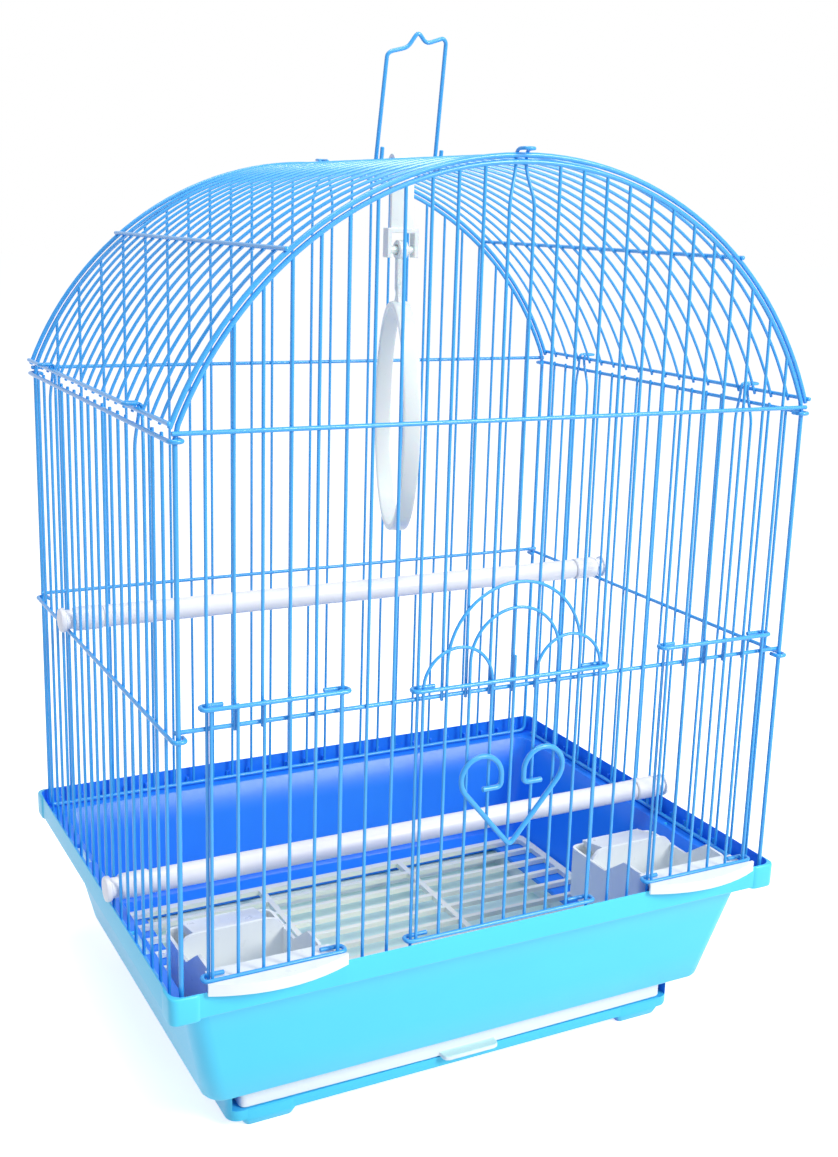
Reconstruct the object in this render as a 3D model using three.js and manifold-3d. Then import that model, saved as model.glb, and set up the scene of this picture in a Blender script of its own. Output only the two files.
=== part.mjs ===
// Round top cage for small birds: welded wire panels on a plastic base tub,
// with lift doors, feeder cups, perches, a swing, a floor grate and a slide-out tray.
// Lengths are in millimetres, +Z is up, the front of the cage faces -Y.
import * as THREE from 'three';
import { mergeVertices } from 'three/addons/utils/BufferGeometryUtils.js';
import Module from 'manifold-3d';

const wasm = await Module();
wasm.setup();

// Driving dimensions of the wire body
const CAGE_WIDTH = 330;
const CAGE_DEPTH = 250;
const POST_WIRE = 2.3;
const THIN_WIRE = 1.6;
const BAR_WIRE = 2.1;
const WELD_SINK = 0.5;
const RUN_GAP = 0.35;
const HOOK_PLAY = 0.6;
const WIRE_NUB = 0.7;
const FRONT_PITCHES = 26;
const SIDE_PITCHES = 19;
const SHOULDER_RISE = 251.3;
const MID_BAR_RISE = 122.5;
const SIDE_BAR_DROP = 3.1;
const SIDE_RAIL_INSET = 7.4;
const ARCH_RISE = 112.9;

// Base tub, its plinth and feet
const FOOT_DROP = 3.8;
const SILL_HEIGHT = 6.2;
const SLOT_HEIGHT = 12.5;
const SLOT_ROOF = 2;
const TUB_HEIGHT = 74.3;
const TUB_WALL = 2.5;
const FLOOR_THICK = 2.5;
const RIM_EDGE = 1.5;
const RIM_HEIGHT = 12.5;
const RIM_CORNER = 7;
const CORNER_BLOCK = 16;
const CORNER_BLOCK_ROUND = 3.6;
const CORNER_BLOCK_DROP = 1;
const CORNER_BLOCK_PROUD = 0.8;
const TUB_SIDE_TAPER = 18.6;
const TUB_FRONT_TAPER = 18;
const TUB_CORNER = 10;
const CHANNEL_WIDTH = 8;
const LEDGE_WIDTH = 11.4;
const FLANGE_THICK = 2.2;
const SLOT_LENGTH = 25;
const SLOT_WIDTH = 3;
const SLOT_SPACING = 55;
const PLINTH_SIDE_STEP = 13.4;
const PLINTH_FRONT_STEP = 10;
const PLINTH_WALL = 2.5;
const TRAY_LEDGE = 10;
const FOOT_LENGTH = 30;
const FOOT_WIDTH = 14;
const FOOT_INSET = 7;

// Slide tray and floor grate
const TRAY_SIDE_GAP = 4;
const TRAY_FRONT_INSET = 1;
const TRAY_CORNER = 4;
const TRAY_WALL = 1.8;
const TRAY_RISE = 10.8;
const TRAY_BOW = 0.8;
const TRAY_TAB_WIDTH = 33;
const TAB_REACH = 6;
const TAB_THICK = 2.5;
const GRATE_THICK = 3;
const GRATE_FRAME = 5;
const GRATE_BAR = 3.5;
const GRATE_SLAT = 3.2;
const GRATE_SLATS = 10;
const GRATE_GAP = 1;
const GRATE_BACK_GAP = 18;
const GRATE_CORNER = 3;
const GRATE_BAR_SHARE = 1 / 3;

// Doors
const DOOR_PITCH = 12.2;
const MAIN_DOOR_FIRST_INDEX = 9;
const MAIN_DOOR_LAST_INDEX = 17;
const MAIN_DOOR_HALF_STEPS = 4;
const OUTER_ARCH_STEPS = 3;
const INNER_ARCH_STEPS = 2;
const MAIN_DOOR_TOP = 127.5;
const FEEDER_DOOR_WIRES = 6;
const FEEDER_FIRST_INDEX = 1;
const FEEDER_LAST_INDEX = 6;
const FEEDER_DOOR_TOP = 132.5;
const DOOR_STUB = 10;
const FEEDER_STUB = 8;
const OUTER_ARCH_HEIGHT = 47.5;
const INNER_ARCH_HEIGHT = 35;
const SIDE_ARCH_HEIGHT = 18.75;
const CENTRE_STUB_HEIGHT = 11.25;
const SIDE_ARCH_STEPS = 1.5;
const HEART_WIRE = 2.6;
const HEART_TIP_RISE = 42.5;
const HEART_HEIGHT = 50;
const HEART_LOBE = 11;
const HEART_LOBE_SPREAD = 17.3;
const HEART_INNER_DROP = 3;
const HEART_STUB = 7;

// Feeder cups
const CUP_HALF = 28.4;
const CUP_BACK = 72;
const CUP_DEEP = 39.5;
const CUP_TUB_GAP = 1.6;
const CUP_WALL = 1.6;
const CUP_CORNER = 5;
const LIP_TOP = 3;
const CUP_SIDE_DROP = 0.9;
const CUP_FRONT_RUN = 18;
const CUP_SLOPE_RUN = 17;
const CUP_SLOPE_DROP = 12.5;
const PANEL_SETBACK = 50;
const PANEL_TOP_DROP = 4.5;
const PANEL_CORNER = 8;
const PANEL_THICK = 1.8;
const PANEL_FOOT_GAP = 14;
const HOOD_HALF = 19.5;
const HOOD_SLOPE = 4;
const HOOD_THICK = 1.8;
const LIP_HALF = 34.2;
const LIP_REACH = 9;
const LIP_END_REACH = 1.2;
const LIP_RISE = 5;
const NECK_OVERLAP = 1.5;
const LIP_DROP = 0.6;

// Perches
const PERCH_ROD = 12;
const PERCH_NECK = 10.4;
const PERCH_FLANGE = 13;
const PERCH_FLANGE_THICK = 3;
const PERCH_COLLAR = 13;
const PERCH_COLLAR_LENGTH = 15;
const PERCH_SPIGOT = 9;
const PERCH_BORE_DEPTH = 10;
const LOWER_PERCH_INDEX = 7;
const UPPER_PERCH_INDEX = 13;

// Roof panel
const ROOF_BAR_ANGLE = 40.5;
const ROOF_GAP = 0.55;
const EDGE_BAR_RISE = 2.75;
const ROOF_END_SHARE = 0.035;
const ROOF_BAR_OVERHANG = 2.2;

// Latching tabs: two wires drawn together and folded over the roof wire
const TAB_HALF_WIDTH = 2.6;
const TAB_FOLD = 8;
const TAB_DRAW = 14;
const FRONT_TAB_INDEX = 12;
const SIDE_TAB_INDEX = 3;

// Carrying handle
const HANDLE_HALF_FOOT = 17;
const HANDLE_HALF_TOP = 16;
const HANDLE_HEIGHT = 56;
const HANDLE_NOTCH = 5;
const HANDLE_NOTCH_DROP = 1;
const HANDLE_PEAK = 8;
const HANDLE_TIP_HALF = 0.6;
const HANDLE_STUB = 8;
const HANDLE_OFFSET = 3;
const HANDLE_LEAN = 9;
const HANDLE_ARC_INDEX = 10;

// Swing
const STRAP_WIDTH = 13;
const STRAP_THICK = 2.4;
const STRAP_DROP = 34;
const SWING_HOOK = 2.2;
const SWING_PLAY = 1.2;
const BRACKET_WIDTH = 18;
const BRACKET_HEIGHT = 15;
const BRACKET_THICK = 6;
const BRACKET_WALL = 2.4;
const SWING_PIN = 4;
const RING_WIDTH = 100;
const RING_HEIGHT = 123;
const RING_BAND = 9;
const RING_THICK = 3.5;
const RING_NECK = 26.4;
const RING_NECK_WIDTH = 8;
const RING_STEM = 5;
const RING_EYE = 10;
const SWING_TURN = 17;

// Section and curve steps
const WIRE_SIDES = 6;
const THIN_SIDES = 4;
const ARCH_STEPS = 12;
const BEND_STEPS = 6;
const LOOP_STEPS = 10;
const ROUND_STEPS = 12;
const OVERRUN = 2;
const COPLANAR_GAP = 0.01;
const WELD_REACH = 0.0001;
const ROUNDING = 1e-9;
const FEW_STEPS = 2;
const CUP_STEPS = 3;

// Heights worked out from the driving dimensions
const sillBottom = FOOT_DROP;
const sillTop = sillBottom + SILL_HEIGHT;
const slotTop = sillTop + SLOT_HEIGHT;
const tubBottom = slotTop + SLOT_ROOF;
const rimTop = tubBottom + TUB_HEIGHT;
const rimBottom = rimTop - RIM_HEIGHT;
const channelFloor = rimBottom + FLANGE_THICK;
const wallTopZ = rimBottom + FLANGE_THICK / 2;
const railHeight = channelFloor + RUN_GAP + POST_WIRE / 2;
const shoulderHeight = rimTop + SHOULDER_RISE;
const midHeight = rimTop + MID_BAR_RISE;
const sideTopHeight = shoulderHeight - SIDE_BAR_DROP;
const sideMidHeight = midHeight - SIDE_BAR_DROP;

// Wire positions worked out from the driving dimensions
const halfWidth = CAGE_WIDTH / 2;
const halfDepth = CAGE_DEPTH / 2;
const frontPitch = CAGE_WIDTH / FRONT_PITCHES;
const sidePitch = CAGE_DEPTH / SIDE_PITCHES;
const barOnThin = (THIN_WIRE + BAR_WIRE) / 2 - WELD_SINK;
const hookRadius = (POST_WIRE + BAR_WIRE) / 2 + HOOK_PLAY;
const sideBarX = halfWidth + hookRadius;
const sideWireX = sideBarX - barOnThin;
const archRadius = (halfWidth ** 2 + ARCH_RISE ** 2) / (2 * ARCH_RISE);
const archCentre = shoulderHeight + ARCH_RISE - archRadius;
const roofRadius = archRadius + POST_WIRE + ROOF_GAP;
const shoulderAngle = Math.asin((shoulderHeight - archCentre) / archRadius);
const edgeAngle = Math.PI / 2 - shoulderAngle - EDGE_BAR_RISE / roofRadius;
const thinArcAngle = Math.PI / 2 - edgeAngle - (BAR_WIRE / 2 + WIRE_NUB) / roofRadius;
const roofArcStep = (Math.PI - 2 * thinArcAngle) / ARCH_STEPS;
const edgeBarX = roofBarRadius(edgeAngle) * Math.sin(edgeAngle);
const edgeBarZ = archCentre + roofBarRadius(edgeAngle) * Math.cos(edgeAngle);
const frontWireX = (index) => -halfWidth + index * frontPitch;
const sideWireY = (index) => -halfDepth + index * sidePitch;

// Distance of a roof bar from the arcs' centre, where it lies on their straight pieces
function roofBarRadius(angle) {
  const half = roofArcStep / 2;
  return (roofRadius * Math.cos(half)) / Math.cos((angle % roofArcStep) - half) + barOnThin;
}

// Outline of the rim and of the channel that the wire panels stand in
const channelOuterX = sideWireX + CHANNEL_WIDTH / 2;
const channelOuterY = halfDepth + CHANNEL_WIDTH / 2;
const rimHalfX = channelOuterX + RIM_EDGE;
const rimHalfY = channelOuterY + RIM_EDGE;
const mouthHalfX = channelOuterX - LEDGE_WIDTH;
const mouthHalfY = channelOuterY - LEDGE_WIDTH;
const wallTopX = mouthHalfX + TUB_WALL;
const wallTopY = mouthHalfY + TUB_WALL;

// Half sizes of the tub's foot and of the plinth below it
const footHalfX = halfWidth - TUB_SIDE_TAPER;
const footHalfY = halfDepth - TUB_FRONT_TAPER;
const plinthHalfX = footHalfX - PLINTH_SIDE_STEP;
const plinthHalfY = footHalfY - PLINTH_FRONT_STEP;

// Everything stands on the floor with the middle of its outline on the Z axis
const lipFront = rimHalfY + LIP_REACH;
const setBack = LIP_REACH / 2;

// Colours
const PAINT_BLUE = 0x3fb0f0;
const TUB_BLUE = 0x55c4f7;
const WHITE_PLASTIC = 0xf2f4f8;
const GRATE_CREAM = 0xe6ece2;
const CUP_WHITE = 0xf4f7fa;
const PAINT_ROUGHNESS = 0.35;
const PAINT_METALNESS = 0.1;
const PLASTIC_ROUGHNESS = 0.45;
const painted = () => new THREE.MeshStandardMaterial({
  color: PAINT_BLUE,
  roughness: PAINT_ROUGHNESS,
  metalness: PAINT_METALNESS,
});
const plastic = (color) => new THREE.MeshStandardMaterial({
  color,
  roughness: PLASTIC_ROUGHNESS,
  metalness: 0,
});

// A path through given points, so that a swept section has one ring at each point
class BentPath extends THREE.Curve {
  constructor(points) {
    super();
    this.points = points;
  }

  getPointAt(share, target = new THREE.Vector3()) {
    const last = this.points.length - 1;
    const index = Math.min(Math.floor(share * last + ROUNDING), last - 1);
    return target.copy(this.points[index]).lerp(this.points[index + 1], share * last - index);
  }

  getTangentAt(share, target = new THREE.Vector3()) {
    const last = this.points.length - 1;
    const index = Math.round(share * last);
    const before = this.points[Math.max(index - 1, 0)];
    const here = this.points[index];
    const after = this.points[Math.min(index + 1, last)];
    const into = here.clone().sub(before).normalize();
    const out = after.clone().sub(here).normalize();
    return target.copy(into).add(out).normalize();
  }
}

const at = (x, y, z) => new THREE.Vector3(x, y, z);

// A round section drawn with few sides, as large in area as the true circle
function roundSection(diameter, sides = WIRE_SIDES) {
  const area = Math.PI / ((sides / 2) * Math.sin((2 * Math.PI) / sides));
  const radius = (diameter / 2) * Math.sqrt(area);
  const corners = [];
  for (let i = 0; i < sides; i += 1) {
    const angle = ((i + 0.5) / sides) * 2 * Math.PI;
    corners.push(new THREE.Vector2(radius * Math.cos(angle), radius * Math.sin(angle)));
  }
  return new THREE.Shape(corners);
}

// A bent wire of a given diameter through the points
function wire(points, diameter, sides = WIRE_SIDES) {
  return new THREE.ExtrudeGeometry(roundSection(diameter, sides), {
    steps: points.length - 1,
    extrudePath: new BentPath(points),
    bevelEnabled: false,
  });
}

const thinWire = (points) => wire(points, THIN_WIRE, THIN_SIDES);

// Points on an arc about a centre, in the plane of two unit directions
function arcPoints(centre, radius, across, up, from, to, steps) {
  const points = [];
  for (let i = 0; i <= steps; i += 1) {
    const angle = from + ((to - from) * i) / steps;
    points.push(
      centre
        .clone()
        .addScaledVector(across, radius * Math.cos(angle))
        .addScaledVector(up, radius * Math.sin(angle)),
    );
  }
  return points;
}

const X_AXIS = at(1, 0, 0);
const Y_AXIS = at(0, 1, 0);
const Z_AXIS = at(0, 0, 1);

// A solid for joining and cutting
function solid(geometry) {
  const plain = geometry.clone();
  plain.deleteAttribute('normal');
  plain.deleteAttribute('uv');
  const merged = mergeVertices(plain, WELD_REACH);
  const mesh = new wasm.Mesh({
    numProp: 3,
    vertProperties: new Float32Array(merged.attributes.position.array),
    triVerts: new Uint32Array(merged.index.array),
  });
  return new wasm.Manifold(mesh);
}

function joined(geometries) {
  return geometries.map(solid).reduce((whole, piece) => whole.add(piece));
}

function cutAway(body, geometries) {
  return geometries.map(solid).reduce((whole, piece) => whole.subtract(piece), body);
}

// A box between two corners
function block(x0, x1, y0, y1, z0, z1) {
  const box = new THREE.BoxGeometry(x1 - x0, y1 - y0, z1 - z0);
  return box.translate((x0 + x1) / 2, (y0 + y1) / 2, (z0 + z1) / 2);
}

// A rectangle with rounded corners, centred on the origin
function roundedOutline(width, depth, radius, steps = BEND_STEPS) {
  const corners = [];
  const signs = [[1, 1], [-1, 1], [-1, -1], [1, -1]];
  signs.forEach(([sx, sy], quarter) => {
    for (let i = 0; i <= steps; i += 1) {
      const angle = ((quarter + i / steps) * Math.PI) / 2;
      corners.push(new THREE.Vector2(
        sx * (width / 2 - radius) + radius * Math.cos(angle),
        sy * (depth / 2 - radius) + radius * Math.sin(angle),
      ));
    }
  });
  return new THREE.Shape(corners);
}

// An upright block with rounded corners between two heights
function roundedBlock(width, depth, radius, low, high, steps = BEND_STEPS) {
  const outline = roundedOutline(width, depth, radius, steps);
  const geometry = new THREE.ExtrudeGeometry(outline, { depth: high - low, bevelEnabled: false });
  return geometry.translate(0, 0, low);
}

// The same block, with its top spread to another width and depth
function spreadBlock(width, depth, radius, low, high, topWidth, topDepth) {
  const geometry = roundedBlock(width, depth, radius, low, high);
  const place = geometry.attributes.position;
  for (let i = 0; i < place.count; i += 1) {
    const share = (place.getZ(i) - low) / (high - low);
    place.setX(i, place.getX(i) * (1 + share * (topWidth / width - 1)));
    place.setY(i, place.getY(i) * (1 + share * (topDepth / depth - 1)));
  }
  return geometry;
}

// An outline in X and Z pushed along Y, from one depth to another
function slabAlongY(points, y0, y1) {
  const shape = new THREE.Shape(points.map(([x, z]) => new THREE.Vector2(x, z)));
  const geometry = new THREE.ExtrudeGeometry(shape, { depth: y1 - y0, bevelEnabled: false });
  return geometry.rotateX(Math.PI / 2).translate(0, y1, 0);
}

// An outline in Y and Z pushed along X, from one side to the other
function slabAlongX(points, x0, x1) {
  const shape = new THREE.Shape(points.map(([y, z]) => new THREE.Vector2(y, z)));
  const geometry = new THREE.ExtrudeGeometry(shape, { depth: x1 - x0, bevelEnabled: false });
  return geometry.rotateX(Math.PI / 2).rotateZ(Math.PI / 2).translate(x0, 0, 0);
}

// A round bar along X
function barAlongX(diameter, x0, x1, y, z, sides = ROUND_STEPS) {
  return wire([at(x0, y, z), at(x1, y, z)], diameter, sides);
}

const mirrored = (body) => body.mirror([1, 0, 0]);

// A finished node: the solid goes back to a three.js mesh in its place on the floor
function node(name, body, material) {
  const mesh = body.getMesh();
  const geometry = new THREE.BufferGeometry();
  geometry.setAttribute('position', new THREE.BufferAttribute(new Float32Array(mesh.vertProperties), 3));
  geometry.setIndex(new THREE.BufferAttribute(new Uint32Array(mesh.triVerts), 1));
  geometry.computeVertexNormals();
  const result = new THREE.Mesh(geometry, material);
  result.name = name;
  result.position.y = setBack;
  return result;
}

// Height of an arch's centre line at a place across the front, on the straight between two bends
function archHeight(x, radius, low) {
  const step = (Math.PI - 2 * low) / ARCH_STEPS;
  const inner = Math.floor(Math.asin(Math.abs(x) / radius) / step) * step;
  const outer = inner + step;
  const innerX = radius * Math.sin(inner);
  const share = (Math.abs(x) - innerX) / (radius * Math.sin(outer) - innerX);
  return archCentre + radius * (Math.cos(inner) + share * (Math.cos(outer) - Math.cos(inner)));
}

const panelHeight = (x) => archHeight(x, archRadius, shoulderAngle);

// Two neighbouring wires drawn together, led up behind a roof wire and folded over it.
// The path is made flat: side runs along the panel, out runs away from the cage.
function tabWires(place, side, out, halfSpan, low, drawFrom, inset, overTop) {
  const spot = (s, o, z) => place.clone().addScaledVector(side, s).addScaledVector(out, o).setZ(z);
  const leg = (sign) => [
    spot(sign * halfSpan, 0, low),
    spot(sign * halfSpan, 0, drawFrom - TAB_HALF_WIDTH),
    spot(sign * halfSpan, 0, drawFrom),
    spot(sign * TAB_HALF_WIDTH, -inset, drawFrom + TAB_DRAW),
    spot(sign * TAB_HALF_WIDTH, -inset, overTop),
    spot(sign * TAB_HALF_WIDTH, TAB_FOLD - inset, overTop),
  ];
  return thinWire([...leg(-1), ...leg(1).reverse()]);
}

// Front and back panel: one bent frame wire, upright wires, two bars and the top tab.
// The back panel is the same panel turned round, without door openings.
function endPanel(openings) {
  const archPoints = arcPoints(
    at(0, 0, archCentre), archRadius, X_AXIS, Z_AXIS, Math.PI - shoulderAngle, shoulderAngle, ARCH_STEPS,
  );
  const pieces = [
    wire([at(-halfWidth, 0, railHeight), ...archPoints, at(halfWidth, 0, railHeight)], POST_WIRE),
    wire([at(-halfWidth, 0, railHeight), at(halfWidth, 0, railHeight)], POST_WIRE),
  ];
  const barEnd = halfWidth + POST_WIRE / 2;
  const shoulderEnd = barEnd + WELD_SINK;
  pieces.push(wire(
    [at(-shoulderEnd, -barOnThin, shoulderHeight), at(shoulderEnd, -barOnThin, shoulderHeight)], BAR_WIRE,
  ));
  pieces.push(wire([at(-barEnd, barOnThin, midHeight), at(barEnd, barOnThin, midHeight)], BAR_WIRE));
  for (let k = 1; k < FRONT_PITCHES; k += 1) {
    const open = openings.some(([first, last]) => k > first && k < last);
    const low = open ? midHeight - BAR_WIRE / 2 - WIRE_NUB : railHeight;
    const x = frontWireX(k);
    const inTab = k === FRONT_TAB_INDEX || k === FRONT_TAB_INDEX + 1;
    if (!inTab) {
      pieces.push(thinWire([at(x, 0, low), at(x, 0, panelHeight(x))]));
    }
  }
  const tabX = (frontWireX(FRONT_TAB_INDEX) + frontWireX(FRONT_TAB_INDEX + 1)) / 2;
  const inset = (POST_WIRE + THIN_WIRE) / 2 + HOOK_PLAY;
  const roofTop = archCentre + roofRadius;
  const tabOpen = openings.some(([first, last]) => FRONT_TAB_INDEX > first && FRONT_TAB_INDEX < last);
  pieces.push(tabWires(
    at(tabX, 0, 0), X_AXIS, Y_AXIS.clone().negate(), frontPitch / 2,
    tabOpen ? midHeight - BAR_WIRE / 2 - WIRE_NUB : railHeight,
    panelHeight(tabX) - TAB_DRAW - POST_WIRE, inset,
    roofTop + inset,
  ));
  return joined(pieces);
}

function frontPanel() {
  const openings = [
    [FEEDER_FIRST_INDEX, FEEDER_LAST_INDEX],
    [MAIN_DOOR_FIRST_INDEX, MAIN_DOOR_LAST_INDEX],
    [FRONT_PITCHES - FEEDER_LAST_INDEX, FRONT_PITCHES - FEEDER_FIRST_INDEX],
  ];
  return endPanel(openings).translate([0, -halfDepth, 0]);
}

function backPanel() {
  return endPanel([]).rotate([0, 0, 180]).translate([0, halfDepth, 0]);
}

// A side bar whose ends are hooked round the corner posts
function hookedSideBar(z) {
  const frontPost = at(halfWidth, -halfDepth, z);
  const backPost = at(halfWidth, halfDepth, z);
  const front = arcPoints(frontPost, hookRadius, X_AXIS, Y_AXIS, -Math.PI, 0, BEND_STEPS);
  const back = arcPoints(backPost, hookRadius, X_AXIS, Y_AXIS, 0, Math.PI, BEND_STEPS);
  const stub = at(halfWidth - hookRadius, -halfDepth + POST_WIRE, z);
  const otherStub = at(halfWidth - hookRadius, halfDepth - POST_WIRE, z);
  return wire([stub, ...front, ...back, otherStub], BAR_WIRE);
}

// Right-hand side panel; the left-hand one is its mirror image
function sidePanel() {
  const railEnd = halfDepth - SIDE_RAIL_INSET;
  const pieces = [
    wire([at(sideWireX, -railEnd, railHeight), at(sideWireX, railEnd, railHeight)], POST_WIRE),
    hookedSideBar(sideTopHeight),
    hookedSideBar(sideMidHeight),
  ];
  const tabFirsts = [SIDE_TAB_INDEX, SIDE_PITCHES - SIDE_TAB_INDEX - 1];
  for (let i = 1; i < SIDE_PITCHES; i += 1) {
    const inTab = tabFirsts.some((first) => i === first || i === first + 1);
    if (!inTab) {
      const top = sideTopHeight + BAR_WIRE / 2 + WIRE_NUB;
      pieces.push(thinWire([at(sideWireX, sideWireY(i), railHeight), at(sideWireX, sideWireY(i), top)]));
    }
  }
  const inset = (BAR_WIRE + THIN_WIRE) / 2 + HOOK_PLAY;
  tabFirsts.forEach((first) => {
    const tabY = (sideWireY(first) + sideWireY(first + 1)) / 2;
    pieces.push(tabWires(
      at(sideWireX, tabY, 0), Y_AXIS, X_AXIS, sidePitch / 2, railHeight,
      edgeBarZ - TAB_DRAW - BAR_WIRE, sideWireX - (edgeBarX - inset), edgeBarZ + inset,
    ));
  });
  return joined(pieces);
}

// Round roof: thick end arcs that lie on the panels' arches, thin arcs between, four bars along it
function roofPanel() {
  const pieces = [];
  for (let i = 0; i <= SIDE_PITCHES; i += 1) {
    const atEnd = i === 0 || i === SIDE_PITCHES;
    const centre = at(0, sideWireY(i), archCentre);
    const low = atEnd ? shoulderAngle : thinArcAngle;
    const points = arcPoints(centre, roofRadius, X_AXIS, Z_AXIS, Math.PI - low, low, ARCH_STEPS);
    if (atEnd) {
      points[0].lerp(points[1], ROOF_END_SHARE);
      points[ARCH_STEPS].lerp(points[ARCH_STEPS - 1], ROOF_END_SHARE);
    }
    pieces.push(atEnd ? wire(points, POST_WIRE) : thinWire(points));
  }
  const barAngle = THREE.MathUtils.degToRad(ROOF_BAR_ANGLE);
  const barEnd = halfDepth + ROOF_BAR_OVERHANG;
  [-edgeAngle, -barAngle, barAngle, edgeAngle].forEach((angle) => {
    const radius = roofBarRadius(Math.abs(angle));
    const x = radius * Math.sin(angle);
    const z = archCentre + radius * Math.cos(angle);
    pieces.push(wire([at(x, -barEnd, z), at(x, barEnd, z)], BAR_WIRE));
  });
  return joined(pieces);
}

// Doors run in front of the panel: their bars wrap round two of its wires
const doorWireY = -halfDepth - THIN_WIRE - RUN_GAP;
const doorBarY = doorWireY - barOnThin;
const doorStubY = -halfDepth + (THIN_WIRE + BAR_WIRE) / 2 + HOOK_PLAY;
const doorHookRadius = (doorStubY - doorBarY) / 2;
const mainDoorBottom = rimTop + RUN_GAP + BAR_WIRE / 2;
const feederDoorBottom = rimTop + LIP_TOP + RUN_GAP + BAR_WIRE / 2;
const feederCentre = -(frontWireX(FEEDER_FIRST_INDEX) + frontWireX(FEEDER_LAST_INDEX)) / 2;

// A door bar with its two hooked ends, between guide wires at plus and minus halfSpan
function doorBar(centreX, halfSpan, z, stub) {
  const y = (doorStubY + doorBarY) / 2;
  const quarter = Math.PI / 2;
  const rightGuide = at(centreX + halfSpan, y, z);
  const leftGuide = at(centreX - halfSpan, y, z);
  const right = arcPoints(rightGuide, doorHookRadius, X_AXIS, Y_AXIS, -quarter, quarter, BEND_STEPS);
  const left = arcPoints(leftGuide, doorHookRadius, X_AXIS, Y_AXIS, quarter, Math.PI + quarter, BEND_STEPS);
  const rightStub = at(centreX + halfSpan - stub, doorStubY, z);
  const leftStub = at(centreX - halfSpan + stub, doorStubY, z);
  return wire([leftStub, ...left, ...right, rightStub], BAR_WIRE);
}

function archWire(x, radius, base, top) {
  const centre = at(x, doorWireY, top - radius);
  const arc = arcPoints(centre, radius, X_AXIS, Z_AXIS, Math.PI, 0, LOOP_STEPS);
  return [at(x - radius, doorWireY, base), ...arc, at(x + radius, doorWireY, base)];
}

function mainDoor() {
  const halfSpan = (frontWireX(MAIN_DOOR_LAST_INDEX) - frontWireX(MAIN_DOOR_FIRST_INDEX)) / 2;
  const topBar = rimTop + MAIN_DOOR_TOP;
  const sideArch = MAIN_DOOR_HALF_STEPS - SIDE_ARCH_STEPS;
  const pieces = [
    doorBar(0, halfSpan, mainDoorBottom, DOOR_STUB),
    doorBar(0, halfSpan, topBar, DOOR_STUB),
    thinWire([at(0, doorWireY, mainDoorBottom), at(0, doorWireY, topBar + CENTRE_STUB_HEIGHT)]),
  ];
  const arches = [
    [0, OUTER_ARCH_STEPS, OUTER_ARCH_HEIGHT],
    [0, INNER_ARCH_STEPS, INNER_ARCH_HEIGHT],
    [-sideArch, SIDE_ARCH_STEPS, SIDE_ARCH_HEIGHT],
    [sideArch, SIDE_ARCH_STEPS, SIDE_ARCH_HEIGHT],
  ];
  arches.forEach(([centreStep, radiusSteps, height]) => {
    const x = centreStep * DOOR_PITCH;
    pieces.push(thinWire(archWire(x, radiusSteps * DOOR_PITCH, mainDoorBottom, topBar + height)));
  });
  return joined(pieces);
}

// Heart bent from one wire: two straight sides from the tip, two lobes, two short stubs
function doorHeart() {
  const y = doorWireY - THIN_WIRE / 2 - RUN_GAP - HEART_WIRE / 2;
  const tipZ = rimTop + HEART_TIP_RISE;
  const lobeZ = tipZ + HEART_HEIGHT - HEART_WIRE / 2 - HEART_LOBE;
  const reach = Math.hypot(HEART_LOBE_SPREAD, lobeZ - tipZ);
  const toTip = Math.atan2(tipZ - lobeZ, -HEART_LOBE_SPREAD);
  const touch = toTip + Math.acos(HEART_LOBE / reach);
  const innerX = HEART_LOBE_SPREAD - HEART_LOBE;
  const half = (sign) => {
    const across = X_AXIS.clone().multiplyScalar(sign);
    const centre = at(sign * HEART_LOBE_SPREAD, y, lobeZ);
    return [
      ...arcPoints(centre, HEART_LOBE, across, Z_AXIS, touch, Math.PI, LOOP_STEPS),
      at(sign * innerX, y, lobeZ - HEART_INNER_DROP),
      at(sign * (innerX + HEART_WIRE), y, lobeZ - 2 * HEART_INNER_DROP),
      at(sign * (innerX + HEART_STUB + HEART_WIRE), y, lobeZ - 2 * HEART_INNER_DROP),
    ];
  };
  return joined([wire([...half(-1).reverse(), at(0, y, tipZ), ...half(1)], HEART_WIRE)]);
}

function feederDoor(centreX) {
  const halfSpan = (frontWireX(FEEDER_LAST_INDEX) - frontWireX(FEEDER_FIRST_INDEX)) / 2;
  const topBar = rimTop + FEEDER_DOOR_TOP;
  const pieces = [
    doorBar(centreX, halfSpan, feederDoorBottom, FEEDER_STUB),
    doorBar(centreX, halfSpan, topBar, FEEDER_STUB),
  ];
  for (let k = 0; k < FEEDER_DOOR_WIRES; k += 1) {
    const x = centreX + (k - (FEEDER_DOOR_WIRES - 1) / 2) * DOOR_PITCH;
    pieces.push(thinWire([at(x, doorWireY, feederDoorBottom), at(x, doorWireY, topBar + WIRE_NUB)]));
  }
  return joined(pieces);
}

// Outer tub wall's half width or half depth at a height
const wallHalf = (foot, top, z) => foot + ((z - tubBottom) / (wallTopZ - tubBottom)) * (top - foot);

// The space inside the sloping walls between two heights, kept a little clear of them
function tubInside(clear, low, high) {
  const off = TUB_WALL + clear;
  const width = (z) => 2 * (wallHalf(footHalfX, wallTopX, z) - off);
  const depth = (z) => 2 * (wallHalf(footHalfY, wallTopY, z) - off);
  return spreadBlock(width(low), depth(low), TUB_CORNER - off, low, high, width(high), depth(high));
}

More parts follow.
